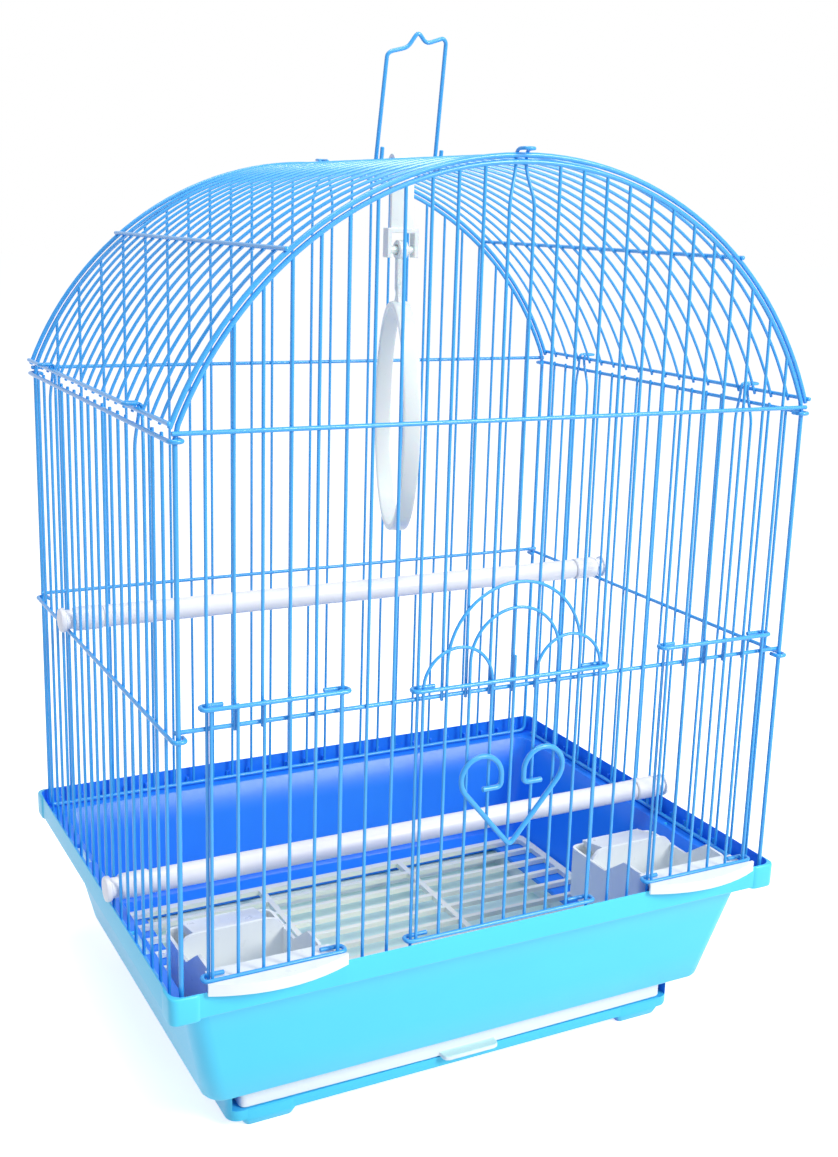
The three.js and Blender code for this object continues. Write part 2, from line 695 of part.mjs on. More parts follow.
function baseTub() {
  const bowl = spreadBlock(
    2 * footHalfX, 2 * footHalfY, TUB_CORNER, tubBottom, wallTopZ, 2 * wallTopX, 2 * wallTopY,
  );
  const rimX = rimHalfX - CORNER_BLOCK_PROUD;
  const rimY = rimHalfY - CORNER_BLOCK_PROUD;
  const rim = roundedBlock(2 * rimX, 2 * rimY, RIM_CORNER, rimBottom, rimTop);
  const plinth = roundedBlock(
    2 * plinthHalfX, 2 * plinthHalfY, RIM_CORNER, sillBottom, tubBottom + FLOOR_THICK,
  );
  const pieces = [bowl, rim, plinth];
  [-1, 1].forEach((sx) => {
    [-1, 1].forEach((sy) => {
      const cornerBlock = roundedBlock(
        CORNER_BLOCK, CORNER_BLOCK, CORNER_BLOCK_ROUND, rimBottom - CORNER_BLOCK_DROP, rimTop, FEW_STEPS,
      );
      cornerBlock.translate(sx * (rimHalfX - CORNER_BLOCK / 2), sy * (rimHalfY - CORNER_BLOCK / 2), 0);
      pieces.push(cornerBlock);
      const footX = sx * (plinthHalfX - FOOT_INSET - FOOT_LENGTH / 2);
      const footY = sy * (plinthHalfY - FOOT_WIDTH / 2);
      const foot = roundedBlock(FOOT_LENGTH, FOOT_WIDTH, FOOT_DROP, 0, sillTop, FEW_STEPS);
      pieces.push(foot.translate(footX, footY, 0));
    });
  });
  const hollow = tubInside(0, tubBottom + FLOOR_THICK, rimTop + OVERRUN);
  const sideWall = plinthHalfX - PLINTH_WALL;
  const backWall = plinthHalfY - PLINTH_WALL;
  const traySlot = block(-sideWall, sideWall, -footHalfY, backWall, sillTop, slotTop);
  const dropRoom = block(
    -sideWall + TRAY_LEDGE, sideWall - TRAY_LEDGE,
    -backWall + TRAY_LEDGE, backWall - TRAY_LEDGE,
    -OVERRUN, slotTop + FLOOR_THICK + SLOT_ROOF + OVERRUN,
  );
  const channel = roundedBlock(
    2 * channelOuterX, 2 * channelOuterY, RIM_CORNER - RIM_EDGE, channelFloor, rimTop + OVERRUN,
  );
  const tub = cutAway(joined(pieces), [hollow, traySlot, dropRoom, channel]);
  const slots = [];
  [-1, 1].forEach((sx) => {
    [-1, 1].forEach((sy) => {
      const slotX = sx * (wallTopX + RUN_GAP + SLOT_WIDTH / 2);
      slots.push(block(
        slotX - SLOT_WIDTH / 2, slotX + SLOT_WIDTH / 2,
        sy * SLOT_SPACING - SLOT_LENGTH / 2, sy * SLOT_SPACING + SLOT_LENGTH / 2,
        rimBottom - OVERRUN, channelFloor + OVERRUN,
      ));
    });
  });
  return cutAway(tub, slots);
}

// Slide tray: shallow white pan with a bowed front and a pull tab
function slideTray() {
  const half = plinthHalfX - PLINTH_WALL - TRAY_SIDE_GAP;
  const front = -plinthHalfY + TRAY_FRONT_INSET;
  const back = plinthHalfY - PLINTH_WALL - TRAY_SIDE_GAP;
  const low = sillTop + RUN_GAP;
  const outline = new THREE.Shape();
  outline.moveTo(half, back);
  outline.lineTo(-half, back);
  outline.lineTo(-half, front + TRAY_CORNER);
  outline.quadraticCurveTo(-half, front, -half + TRAY_CORNER, front);
  outline.quadraticCurveTo(0, front - 2 * TRAY_BOW, half - TRAY_CORNER, front);
  outline.quadraticCurveTo(half, front, half, front + TRAY_CORNER);
  const body = new THREE.ExtrudeGeometry(outline, {
    depth: TRAY_RISE,
    bevelEnabled: false,
    curveSegments: LOOP_STEPS,
  });
  body.translate(0, 0, low);
  const tab = roundedBlock(TRAY_TAB_WIDTH, 2 * TAB_REACH, TAB_REACH / 2, low, low + TAB_THICK, FEW_STEPS);
  tab.translate(0, front - TRAY_BOW, 0);
  const pan = block(
    -half + TRAY_WALL, half - TRAY_WALL, front + TRAY_WALL, back - TRAY_WALL,
    low + TRAY_WALL, low + TRAY_RISE + OVERRUN,
  );
  return cutAway(joined([body, tab]), [pan]);
}

// Floor grate: a flat frame with two cross bars and a row of slats
function floorGrate() {
  const low = tubBottom + FLOOR_THICK + RUN_GAP;
  const halfX = footHalfX - TUB_WALL - GRATE_GAP;
  const front = -(footHalfY - TUB_WALL - GRATE_GAP);
  const back = footHalfY - TUB_WALL - GRATE_BACK_GAP;
  const depth = back - front;
  const middleY = (front + back) / 2;
  const plate = (inset, overrun) => {
    const rest = solid(roundedBlock(
      2 * (halfX - inset), depth - 2 * inset, GRATE_CORNER, low - overrun, low + GRATE_THICK + overrun,
    ).translate(0, middleY, 0));
    const inTub = solid(roundedBlock(
      2 * (halfX - inset), 2 * (-front - inset), TUB_CORNER - TUB_WALL - GRATE_GAP - inset,
      low - overrun, low + GRATE_THICK + overrun,
    ));
    return rest.intersect(inTub);
  };
  const ring = plate(0, 0).subtract(plate(GRATE_FRAME, OVERRUN));
  const high = low + GRATE_THICK;
  const barFront = front + GRATE_FRAME / 2;
  const barBack = back - GRATE_FRAME / 2;
  const slatEnd = halfX - GRATE_FRAME / 2;
  const bars = [];
  [-1, 1].forEach((sign) => {
    const x = sign * halfX * GRATE_BAR_SHARE;
    bars.push(block(x - GRATE_BAR / 2, x + GRATE_BAR / 2, barFront, barBack, low, high));
  });
  const slatPitch = (depth - GRATE_FRAME) / (GRATE_SLATS + 1);
  for (let i = 1; i <= GRATE_SLATS; i += 1) {
    const y = barFront + i * slatPitch;
    bars.push(block(
      -slatEnd, slatEnd, y - GRATE_SLAT / 2, y + GRATE_SLAT / 2, low + COPLANAR_GAP, high - COPLANAR_GAP,
    ));
  }
  return ring.add(joined(bars));
}

// Feeder cup: neck and lip over the rim, deep body behind it, divider panel and hood
function feederCup(centreX) {
  const doorSpan = frontWireX(FEEDER_LAST_INDEX) - frontWireX(FEEDER_FIRST_INDEX);
  const neckHalf = doorSpan / 2 - THIN_WIRE / 2 - RUN_GAP;
  const lipTop = rimTop + LIP_TOP;
  const wallTop = lipTop - CUP_SIDE_DROP;
  const bodyFront = -mouthHalfY + RUN_GAP;
  const bodyBack = -halfDepth + CUP_BACK + sidePitch / 2;
  const low = rimTop - CUP_DEEP;
  const depth = bodyBack - bodyFront;
  const middleY = (bodyFront + bodyBack) / 2;
  const cupBlock = (inset, foot, top) => {
    const width = 2 * (CUP_HALF - inset);
    const box = roundedBlock(width, depth - 2 * inset, CUP_CORNER - inset, foot, top, CUP_STEPS);
    const inTub = tubInside(CUP_TUB_GAP + inset, foot, top);
    return solid(box.translate(0, middleY, 0)).intersect(solid(inTub.translate(-Math.abs(centreX), 0, 0)));
  };
  const body = cupBlock(0, low, lipTop);
  const inside = cupBlock(CUP_WALL, low + CUP_WALL, lipTop + OVERRUN);
  const slopeStart = bodyFront + CUP_FRONT_RUN;
  const slopeEnd = slopeStart + CUP_SLOPE_RUN;
  const overTop = lipTop + OVERRUN;
  const trim = slabAlongX([
    [bodyFront + CUP_WALL, wallTop], [slopeStart, wallTop], [slopeEnd, wallTop - CUP_SLOPE_DROP],
    [bodyBack + OVERRUN, wallTop - CUP_SLOPE_DROP], [bodyBack + OVERRUN, overTop],
    [bodyFront + CUP_WALL, overTop],
  ], -CUP_HALF - OVERRUN, CUP_HALF + OVERRUN);
  const shell = cutAway(body.subtract(inside), [trim]);
  const panelY = -halfDepth + PANEL_SETBACK + sidePitch / 2;
  const panelTop = rimTop - PANEL_TOP_DROP;
  const panelHalf = CUP_HALF - CUP_WALL / 2;
  const corner = (sign) => {
    const points = [];
    for (let i = 0; i <= CUP_STEPS; i += 1) {
      const share = i / CUP_STEPS;
      const angle = (Math.PI / 2) * (sign > 0 ? share : 1 - share);
      points.push([
        sign * (panelHalf - PANEL_CORNER + PANEL_CORNER * Math.cos(angle)),
        panelTop - PANEL_CORNER + PANEL_CORNER * Math.sin(angle),
      ]);
    }
    return points;
  };
  const panel = slabAlongY(
    [[-panelHalf, low + PANEL_FOOT_GAP], [panelHalf, low + PANEL_FOOT_GAP], ...corner(1), ...corner(-1)],
    panelY, panelY + PANEL_THICK,
  );
  const hoodBack = bodyBack - CUP_WALL / 2;
  const hoodFront = panelY + PANEL_THICK / 2;
  const hoodFoot = wallTop - CUP_SLOPE_DROP - CUP_WALL;
  const hoodSide = (x) => slabAlongX([
    [hoodFront, hoodFoot], [hoodBack, hoodFoot], [hoodBack, panelTop - HOOD_SLOPE], [hoodFront, panelTop],
  ], x - HOOD_THICK / 2, x + HOOD_THICK / 2);
  const hoodRoof = slabAlongX([
    [hoodFront, panelTop - HOOD_THICK], [hoodBack, panelTop - HOOD_SLOPE - HOOD_THICK],
    [hoodBack, panelTop - HOOD_SLOPE], [hoodFront, panelTop],
  ], -HOOD_HALF, HOOD_HALF);
  const hoodTop = panelTop - HOOD_SLOPE - COPLANAR_GAP;
  const hoodWall = block(-HOOD_HALF, HOOD_HALF, bodyBack - CUP_WALL, bodyBack, hoodFoot, hoodTop);
  const lipBack = -rimHalfY - RUN_GAP;
  const neckEnd = bodyFront + CUP_WALL / 2;
  const neck = block(-neckHalf, neckHalf, lipBack - NECK_OVERLAP, neckEnd, rimTop + RUN_GAP, lipTop);
  const lipShape = new THREE.Shape();
  const lipEnd = lipBack - LIP_END_REACH;
  lipShape.moveTo(LIP_HALF, lipBack);
  lipShape.lineTo(-LIP_HALF, lipBack);
  lipShape.lineTo(-LIP_HALF, lipEnd);
  lipShape.quadraticCurveTo(0, 2 * -lipFront - lipEnd, LIP_HALF, lipEnd);
  const lip = new THREE.ExtrudeGeometry(lipShape, {
    depth: LIP_DROP + LIP_RISE,
    bevelEnabled: false,
    curveSegments: LOOP_STEPS,
  });
  lip.translate(0, 0, rimTop - LIP_DROP);
  const hoodSideX = HOOD_HALF - HOOD_THICK / 2;
  const rest = joined([panel, hoodSide(-hoodSideX), hoodSide(hoodSideX), hoodRoof, hoodWall, neck]);
  const cup = shell.add(rest).add(solid(lip));
  return (centreX < 0 ? mirrored(cup) : cup).translate([centreX, 0, 0]);
}

// Perches: a rod with a spigot at each end in a cap that snaps between two side wires
const flangeInner = sideBarX + BAR_WIRE / 2 + RUN_GAP;
const neckInner = sideWireX - THIN_WIRE / 2 - RUN_GAP;
const collarInner = neckInner - PERCH_COLLAR_LENGTH;
const lowerPerchZ = rimTop + RUN_GAP + PERCH_COLLAR / 2;
const upperPerchZ = sideMidHeight + BAR_WIRE / 2 + RUN_GAP + PERCH_NECK / 2;
const perchY = (index) => (sideWireY(index) + sideWireY(index + 1)) / 2;

function perchRod(index, z) {
  const y = perchY(index);
  const spigotEnd = collarInner + PERCH_BORE_DEPTH - RUN_GAP;
  return joined([
    barAlongX(PERCH_ROD, -collarInner + RUN_GAP, collarInner - RUN_GAP, y, z),
    barAlongX(PERCH_SPIGOT, -spigotEnd, spigotEnd, y, z),
  ]);
}

function perchCap(index, z) {
  const y = perchY(index);
  const cap = joined([
    barAlongX(PERCH_NECK, neckInner - OVERRUN, flangeInner + COPLANAR_GAP, y, z),
    barAlongX(PERCH_COLLAR, collarInner, neckInner, y, z),
    barAlongX(PERCH_FLANGE, flangeInner, flangeInner + PERCH_FLANGE_THICK, y, z),
  ]);
  return cutAway(cap, [
    barAlongX(PERCH_SPIGOT + 2 * RUN_GAP, collarInner - OVERRUN, collarInner + PERCH_BORE_DEPTH, y, z),
  ]);
}

// Carrying handle, hooked round one roof arc and leaning forward a little
const handleHook = (THIN_WIRE + BAR_WIRE) / 2 + HOOK_PLAY;
const handleY = sideWireY(HANDLE_ARC_INDEX);

const footHeight = (sign) => (
  archHeight(HANDLE_OFFSET + sign * HANDLE_HALF_FOOT, roofRadius, thinArcAngle)
);
const handleAxisZ = (footHeight(-1) + footHeight(1)) / 2;

function carryHandle() {
  const half = (sign) => {
    const rise = footHeight(sign) - handleAxisZ;
    const centre = at(sign * HANDLE_HALF_FOOT, 0, rise);
    const hook = arcPoints(centre, handleHook, Y_AXIS, Z_AXIS, -Math.PI, 0, BEND_STEPS);
    return [
      at(sign * HANDLE_HALF_FOOT, -handleHook, HANDLE_STUB + rise), ...hook,
      at(sign * HANDLE_HALF_TOP, handleHook, HANDLE_HEIGHT - BAR_WIRE),
      at(sign * (HANDLE_HALF_TOP - BAR_WIRE), handleHook, HANDLE_HEIGHT),
      at(sign * HANDLE_NOTCH, handleHook, HANDLE_HEIGHT - HANDLE_NOTCH_DROP),
      at(sign * HANDLE_TIP_HALF, handleHook, HANDLE_HEIGHT + HANDLE_PEAK),
    ];
  };
  const body = joined([wire([...half(-1), ...half(1).reverse()], BAR_WIRE)]);
  return body.rotate([HANDLE_LEAN, 0, 0]).translate([HANDLE_OFFSET, handleY, handleAxisZ]);
}

// Swing: a strap hooked over the same roof arc, a bracket with a cross pin, and the ring
const crownZ = archCentre + roofRadius;
const pinZ = crownZ - STRAP_DROP - BRACKET_HEIGHT + SWING_PIN;

function swingHanger() {
  const inner = THIN_WIRE / 2 + SWING_PLAY;
  const outer = inner + SWING_HOOK;
  const hookZ = crownZ - SWING_PLAY + RUN_GAP;
  const hook = new THREE.Shape();
  hook.absarc(0, 0, outer, -Math.PI / 2, Math.PI, false);
  hook.lineTo(-inner, 0);
  hook.absarc(0, 0, inner, Math.PI, -Math.PI / 2, true);
  hook.closePath();
  const hookSolid = new THREE.ExtrudeGeometry(hook, {
    depth: STRAP_WIDTH,
    bevelEnabled: false,
    curveSegments: BEND_STEPS,
  });
  hookSolid.rotateX(Math.PI / 2).rotateZ(Math.PI / 2).translate(-STRAP_WIDTH / 2, 0, hookZ);
  const strapLow = crownZ - STRAP_DROP;
  const strapSide = STRAP_WIDTH / 2;
  const strap = block(
    -strapSide, strapSide, -STRAP_THICK / 2, STRAP_THICK / 2, strapLow - OVERRUN, hookZ - inner,
  );
  const bracketSide = BRACKET_WIDTH / 2;
  const bracketLow = strapLow - BRACKET_HEIGHT;
  const bracket = block(
    -bracketSide, bracketSide, -BRACKET_THICK / 2, BRACKET_THICK / 2, bracketLow, strapLow,
  );
  const room = bracketSide - BRACKET_WALL;
  const eyeRoom = block(
    -room, room, -BRACKET_THICK, BRACKET_THICK, bracketLow - OVERRUN, strapLow - BRACKET_WALL,
  );
  const body = cutAway(joined([hookSolid, strap, bracket]), [eyeRoom]);
  const pinEnd = bracketSide - SWING_PIN / 2;
  const pin = barAlongX(SWING_PIN, -pinEnd, pinEnd, 0, pinZ);
  return body.add(solid(pin)).translate([0, handleY, 0]);
}

// The ring's centre line: round below, drawn in to a point at the neck
function ringOutline(halfW, halfH, centreZ) {
  const points = [];
  const steps = ROUND_STEPS * 2;
  for (let i = 0; i < steps; i += 1) {
    const angle = (i / steps) * 2 * Math.PI;
    points.push([halfW * Math.sin(angle), centreZ - halfH * Math.cos(angle)]);
  }
  return points;
}

function swingRing() {
  const topZ = pinZ - RING_NECK;
  const centreZ = topZ - RING_HEIGHT / 2;
  const outer = slabAlongY(
    ringOutline(RING_WIDTH / 2, RING_HEIGHT / 2, centreZ), -RING_BAND / 2, RING_BAND / 2,
  );
  const inner = slabAlongY(
    ringOutline(RING_WIDTH / 2 - RING_THICK, RING_HEIGHT / 2 - RING_THICK, centreZ), -RING_BAND, RING_BAND,
  );
  const ring = cutAway(joined([outer]), [inner]);
  const neck = slabAlongY([
    [-RING_NECK_WIDTH, topZ - RING_THICK / 2], [RING_NECK_WIDTH, topZ - RING_THICK / 2],
    [RING_THICK / 2, topZ + RING_NECK_WIDTH], [-RING_THICK / 2, topZ + RING_NECK_WIDTH],
  ], -RING_THICK / 2, RING_THICK / 2);
  const turned = ring.add(solid(neck)).rotate([0, 0, 90 - SWING_TURN]);
  const stemSide = RING_STEM / 2;
  const stem = block(-stemSide, stemSide, -RING_THICK / 2, RING_THICK / 2, topZ + RING_THICK, pinZ);
  const eye = barAlongX(RING_EYE, -stemSide, stemSide, 0, pinZ);
  const bore = barAlongX(SWING_PIN + 2 * RUN_GAP, -RING_EYE, RING_EYE, 0, pinZ);
  const upper = cutAway(joined([stem, eye]), [bore]);
  return turned.add(upper).translate([0, handleY, 0]);
}

const cage = new THREE.Group();
const lowerCap = perchCap(LOWER_PERCH_INDEX, lowerPerchZ);
const upperCap = perchCap(UPPER_PERCH_INDEX, upperPerchZ);
const rightSide = sidePanel();
cage.add(
  node('base_tub', baseTub(), plastic(TUB_BLUE)),
  node('slide_tray', slideTray(), plastic(WHITE_PLASTIC)),
  node('floor_grate', floorGrate(), plastic(GRATE_CREAM)),
  node('front_panel', frontPanel(), painted()),
  node('back_panel', backPanel(), painted()),
  node('left_side_panel', mirrored(rightSide), painted()),
  node('right_side_panel', rightSide, painted()),
  node('roof_panel', roofPanel(), painted()),
  node('main_door', mainDoor(), painted()),
  node('door_heart', doorHeart(), painted()),
  node('left_feeder_door', feederDoor(-feederCentre), painted()),
  node('right_feeder_door', feederDoor(feederCentre), painted()),
  node('left_feeder_cup', feederCup(-feederCentre), plastic(CUP_WHITE)),
  node('right_feeder_cup', feederCup(feederCentre), plastic(CUP_WHITE)),
  node('lower_perch_rod', perchRod(LOWER_PERCH_INDEX, lowerPerchZ), plastic(WHITE_PLASTIC)),
  node('lower_perch_left_cap', mirrored(lowerCap), plastic(WHITE_PLASTIC)),
  node('lower_perch_right_cap', lowerCap, plastic(WHITE_PLASTIC)),
  node('upper_perch_rod', perchRod(UPPER_PERCH_INDEX, upperPerchZ), plastic(WHITE_PLASTIC)),
  node('upper_perch_left_cap', mirrored(upperCap), plastic(WHITE_PLASTIC)),
  node('upper_perch_right_cap', upperCap, plastic(WHITE_PLASTIC)),
  node('carry_handle', carryHandle(), painted()),
  node('swing_hanger', swingHanger(), plastic(WHITE_PLASTIC)),
  node('swing_ring', swingRing(), plastic(WHITE_PLASTIC)),
);

export default cage;
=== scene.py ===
"""Round top parakeet cage: wires, plastics, floor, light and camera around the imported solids."""

import math

import bmesh
import bpy
import numpy as np
from mathutils import Matrix, Vector


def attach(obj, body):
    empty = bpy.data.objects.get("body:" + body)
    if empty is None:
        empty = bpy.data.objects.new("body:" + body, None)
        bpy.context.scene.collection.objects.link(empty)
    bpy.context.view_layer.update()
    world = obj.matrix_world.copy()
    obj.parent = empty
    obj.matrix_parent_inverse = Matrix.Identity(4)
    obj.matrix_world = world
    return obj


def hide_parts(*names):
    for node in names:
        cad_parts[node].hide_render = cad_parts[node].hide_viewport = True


bl_info = {
    "name": "Round top parakeet cage",
    "version": (1, 0, 0),
    "blender": (4, 5, 0),
    "location": "3D View > Sidebar > Cage",
    "description": "Builds a round top parakeet cage and its photo stage piece by piece",
    "category": "Add Mesh",
}

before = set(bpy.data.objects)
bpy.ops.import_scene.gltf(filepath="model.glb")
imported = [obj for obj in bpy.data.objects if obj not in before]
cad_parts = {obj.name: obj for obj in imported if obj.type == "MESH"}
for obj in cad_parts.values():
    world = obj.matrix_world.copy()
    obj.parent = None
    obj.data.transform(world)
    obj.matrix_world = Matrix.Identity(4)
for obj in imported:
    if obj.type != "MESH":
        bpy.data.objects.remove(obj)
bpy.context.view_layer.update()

MM = 0.001
SET_BACK = 4.5

# Wire body, in millimetres
HALF_WIDTH = 165.0
HALF_DEPTH = 125.0
FRONT_PITCHES = 26
SIDE_PITCHES = 19
FRONT_PITCH = 2 * HALF_WIDTH / FRONT_PITCHES
SIDE_PITCH = 2 * HALF_DEPTH / SIDE_PITCHES
RIM_TOP = 98.8
CHANNEL_FLOOR = 88.5
RAIL_Z = 90.0
SHOULDER_Z = RIM_TOP + 251.3
MID_Z = RIM_TOP + 122.5
SIDE_TOP_Z = SHOULDER_Z - 3.1
SIDE_MID_Z = MID_Z - 3.1
ARCH_RISE = 112.9
ARCH_RADIUS = (HALF_WIDTH**2 + ARCH_RISE**2) / (2 * ARCH_RISE)
ARCH_CENTRE = SHOULDER_Z + ARCH_RISE - ARCH_RADIUS
ROOF_RADIUS = ARCH_RADIUS + 2.85
BAR_ON_THIN = 1.35
ROOF_BAR_RADIUS = ROOF_RADIUS + BAR_ON_THIN
SHOULDER_ANGLE = math.asin((SHOULDER_Z - ARCH_CENTRE) / ARCH_RADIUS)
HOOK_RADIUS = 2.8
SIDE_BAR_X = HALF_WIDTH + HOOK_RADIUS
SIDE_WIRE_X = SIDE_BAR_X - BAR_ON_THIN
EDGE_ANGLE = math.pi / 2 - SHOULDER_ANGLE - 2.75 / ROOF_RADIUS
THIN_ARC_ANGLE = math.pi / 2 - EDGE_ANGLE - 1.75 / ROOF_RADIUS
EDGE_BAR_X = ROOF_BAR_RADIUS * math.sin(EDGE_ANGLE)
EDGE_BAR_Z = ARCH_CENTRE + ROOF_BAR_RADIUS * math.cos(EDGE_ANGLE)
WIRE_NUB = 0.7
HOOK_PLAY = 0.6
WIRE_SWAY = 0.35
END_BAR_PAST = 0.5
RAIL_INSET = 7.4
SIDE_STUB = 3.0
ROOF_BAR_DEGREES = 40.5
ROOF_BAR_PAST = 2.0
FRONT_TAB = 12
SIDE_TABS = (3, 15)
PERCH_WIRES = (7, 13)
TAB_HALF = 2.6
TAB_DRAW = 14
TAB_FOLD = 8
TAB_BEND = 4.0

# Weld drops: how far one stands out of its wires, and its size on end walls, side walls and roof
WELD_OUT = 0.7
ARCH_WELD_DROP = 0.9
FRONT_WELD = (0.95, 1.05, 0.95)
SIDE_WELD = (1.05, 0.95, 0.95)
ROOF_WELD = (1.05, 0.95, 1.05)

# Doors
DOOR_PITCH = 12.2
DOOR_WIRE_Y = -HALF_DEPTH - 1.95
DOOR_BAR_Y = DOOR_WIRE_Y - BAR_ON_THIN
DOOR_STUB_Y = -HALF_DEPTH + 2.45
MAIN_DOOR_SPAN = 4 * FRONT_PITCH
FEEDER_SPAN = 2.5 * FRONT_PITCH
FEEDER_CENTRE = HALF_WIDTH - 3.5 * FRONT_PITCH
MAIN_DOOR_LOW = RIM_TOP + 1.4
FEEDER_DOOR_LOW = RIM_TOP + 4.4
DOOR_TOP = RIM_TOP + 127.5
FEEDER_DOOR_TOP = RIM_TOP + 132.5
MAIN_STUB = 10
FEEDER_STUB = 8
FEEDER_WIRES = 6
MIDDLE_WIRE_RISE = 11.25
# Arches of the main door: middle in pitches, radius in pitches, height over the top bar
DOOR_ARCHES = ((0, 3, 47.5), (0, 2, 35.0), (-2.5, 1.5, 18.75), (2.5, 1.5, 18.75))

# Tub
TUB_LOW = 24.5
TUB_RISE = 62.9
TUB_FOOT = (146.4, 107.0)
TUB_SPREAD = (161.55, 120.1)
RIB_PITCH = 13.2
RIM_LOW = RIM_TOP - 12.5
TUB_OPENING = (120.5, 84.5)
FLOOR_TOP = TUB_LOW + 2.5
SILL_LOW = 3.8
SILL_TOP = 10.0


# Shapes


def arc(centre, radius, first, last, steps, plane="xz"):
    """Points at equal angles from first to last on a circle about a centre, in one of the main planes."""
    angle = np.linspace(first, last, steps + 1)
    points = np.zeros((steps + 1, 3))
    points[:, "xyz".index(plane[0])] = radius * np.cos(angle)
    points[:, "xyz".index(plane[1])] = radius * np.sin(angle)
    return points + np.asarray(centre, float)


def rounded(points, reach, steps=5):
    """A bent line: each inner corner c becomes the curve (1-t)^2 a + 2t(1-t) c + t^2 b, where a and b
    lie on the two straight runs at the given reach from c."""
    line = np.asarray(points, float)
    corner = line[1:-1]
    back = line[:-2] - corner
    ahead = line[2:] - corner
    back_length = np.linalg.norm(back, axis=1, keepdims=True)
    ahead_length = np.linalg.norm(ahead, axis=1, keepdims=True)
    reach = np.minimum(reach, 0.48 * np.minimum(back_length, ahead_length))
    start = (corner + back / back_length * reach)[:, None]
    end = (corner + ahead / ahead_length * reach)[:, None]
    t = np.linspace(0, 1, steps)[None, :, None]
    curve = (1 - t) ** 2 * start + 2 * t * (1 - t) * corner[:, None] + t**2 * end
    return np.vstack([line[:1], curve.reshape(-1, 3), line[-1:]])


def grid_faces(rows, columns, wrap_rows=False):
    """Four-cornered faces of a grid of rows of points, closed along each row, and from the last row to
    the first where asked."""
    row = np.arange(rows if wrap_rows else rows - 1)[:, None]
    column = np.arange(columns)[None, :]
    following = (row + 1) % rows
    right = (column + 1) % columns
    corners = [row * columns + column, row * columns + right]
    corners += [following * columns + right, following * columns + column]
    return np.stack([np.broadcast_to(c, (len(row), columns)) for c in corners], -1).reshape(-1, 4)


def capped(faces, rows, columns):
    """The faces of a grid with its first and its last row closed by a face each."""
    first = list(range(columns))[::-1]
    last = list(range((rows - 1) * columns, rows * columns))
    return faces.tolist() + [first, last]


def tube(path, diameter, sides=10):
    """A round wire: a circle square to the path at each of its points, with both ends drawn in to a
    small chamfer and closed."""
    path = np.asarray(path, float)
    tangent = np.gradient(path, axis=0)
    tangent /= np.linalg.norm(tangent, axis=1, keepdims=True)
    lean = np.array([0.36, 0.48, 0.8]) if np.ptp(path @ [1, 1, 1]) > 0 else np.array([0, 0, 1.0])
    side = lean - (tangent @ lean)[:, None] * tangent
    small = np.linalg.norm(side, axis=1) < 0.2
    side[small] = np.cross(tangent[small], [0.8, -0.6, 0])
    side /= np.linalg.norm(side, axis=1, keepdims=True)
    other = np.cross(tangent, side)
    radius = diameter / 2
    chamfer = 0.3 * radius
    tip_radius = 0.62 * radius
    centre, side, other = (np.vstack([line[:1], line, line[-1:]]) for line in (path, side, other))
    centre[[0, -1]] += tangent[[0, -1]] * [[-chamfer], [chamfer]]
    size = np.full(len(centre), radius)
    size[[0, -1]] = tip_radius
    angle = np.arange(sides) * 2 * math.pi / sides
    ring = np.cos(angle)[None, :, None] * side[:, None] + np.sin(angle)[None, :, None] * other[:, None]
    points = centre[:, None] + size[:, None, None] * ring
    return points.reshape(-1, 3), capped(grid_faces(len(centre), sides), len(centre), sides)


def straight(start, end, diameter, sway=(0, 0, 0), steps=6, sides=10):
    """A straight wire between two points, bowed sideways by sway times the sine of half a turn."""
    t = np.linspace(0, 1, steps + 1)[:, None]
    start, end, sway = (np.asarray(v, float) for v in (start, end, sway))
    return tube(start + (end - start) * t + np.sin(math.pi * t) * sway, diameter, sides)


def blobs(places, size):
    """Small flattened drops, one at each place: a six-sided ball of two belts and two poles, scaled."""
    angle = np.arange(6) * math.pi / 3
    belt = np.stack([np.cos(angle), np.sin(angle), np.zeros(6)], -1)
    belt_radius, belt_height = 0.8, 0.6
    low = belt * belt_radius - [0, 0, belt_height]
    high = belt * belt_radius + [0, 0, belt_height]
    ball = np.vstack([[[0, 0, -1]], low, high, [[0, 0, 1]]]) * np.asarray(size, float)
    places = np.asarray(places, float)
    points = (places[:, None] + ball[None]).reshape(-1, 3)
    ring = np.arange(6)
    following = (ring + 1) % 6
    foot = np.stack([np.zeros(6, int), 1 + following, 1 + ring], -1)
    belt_faces = np.stack([1 + ring, 1 + following, 7 + following, 7 + ring], -1)
    top = np.stack([7 + ring, 7 + following, np.full(6, 13)], -1)
    shift = np.arange(len(places))[:, None, None] * 14
    faces = []
    for group in (foot, belt_faces, top):
        faces += (group[None] + shift).reshape(-1, group.shape[1]).tolist()
    return points, faces


def ring_stack(rings, corner_steps=8, wrap=True, centre=(0, 0)):
    """A wall carried round a rectangle with rounded corners. Each row (half width, half depth, corner
    radius, height) is one level line: corner centres at the half sizes less the radius, plus the radius
    times the unit circle."""
    rings = np.asarray(rings, float)
    quarter = np.linspace(0, math.pi / 2, corner_steps + 1)
    angle = np.concatenate([quarter + k * math.pi / 2 for k in range(4)])
    sign_x = np.repeat([1, -1, -1, 1], corner_steps + 1)
    sign_y = np.repeat([1, 1, -1, -1], corner_steps + 1)
    half_x, half_y, radius, height = (rings[:, k, None] for k in range(4))
    x = sign_x * (half_x - radius) + radius * np.cos(angle) + centre[0]
    y = sign_y * (half_y - radius) + radius * np.sin(angle) + centre[1]
    points = np.stack([x, y, np.broadcast_to(height, x.shape)], -1).reshape(-1, 3)
    faces = grid_faces(len(rings), len(angle), wrap)
    return points, faces.tolist() if wrap else capped(faces, len(rings), len(angle))


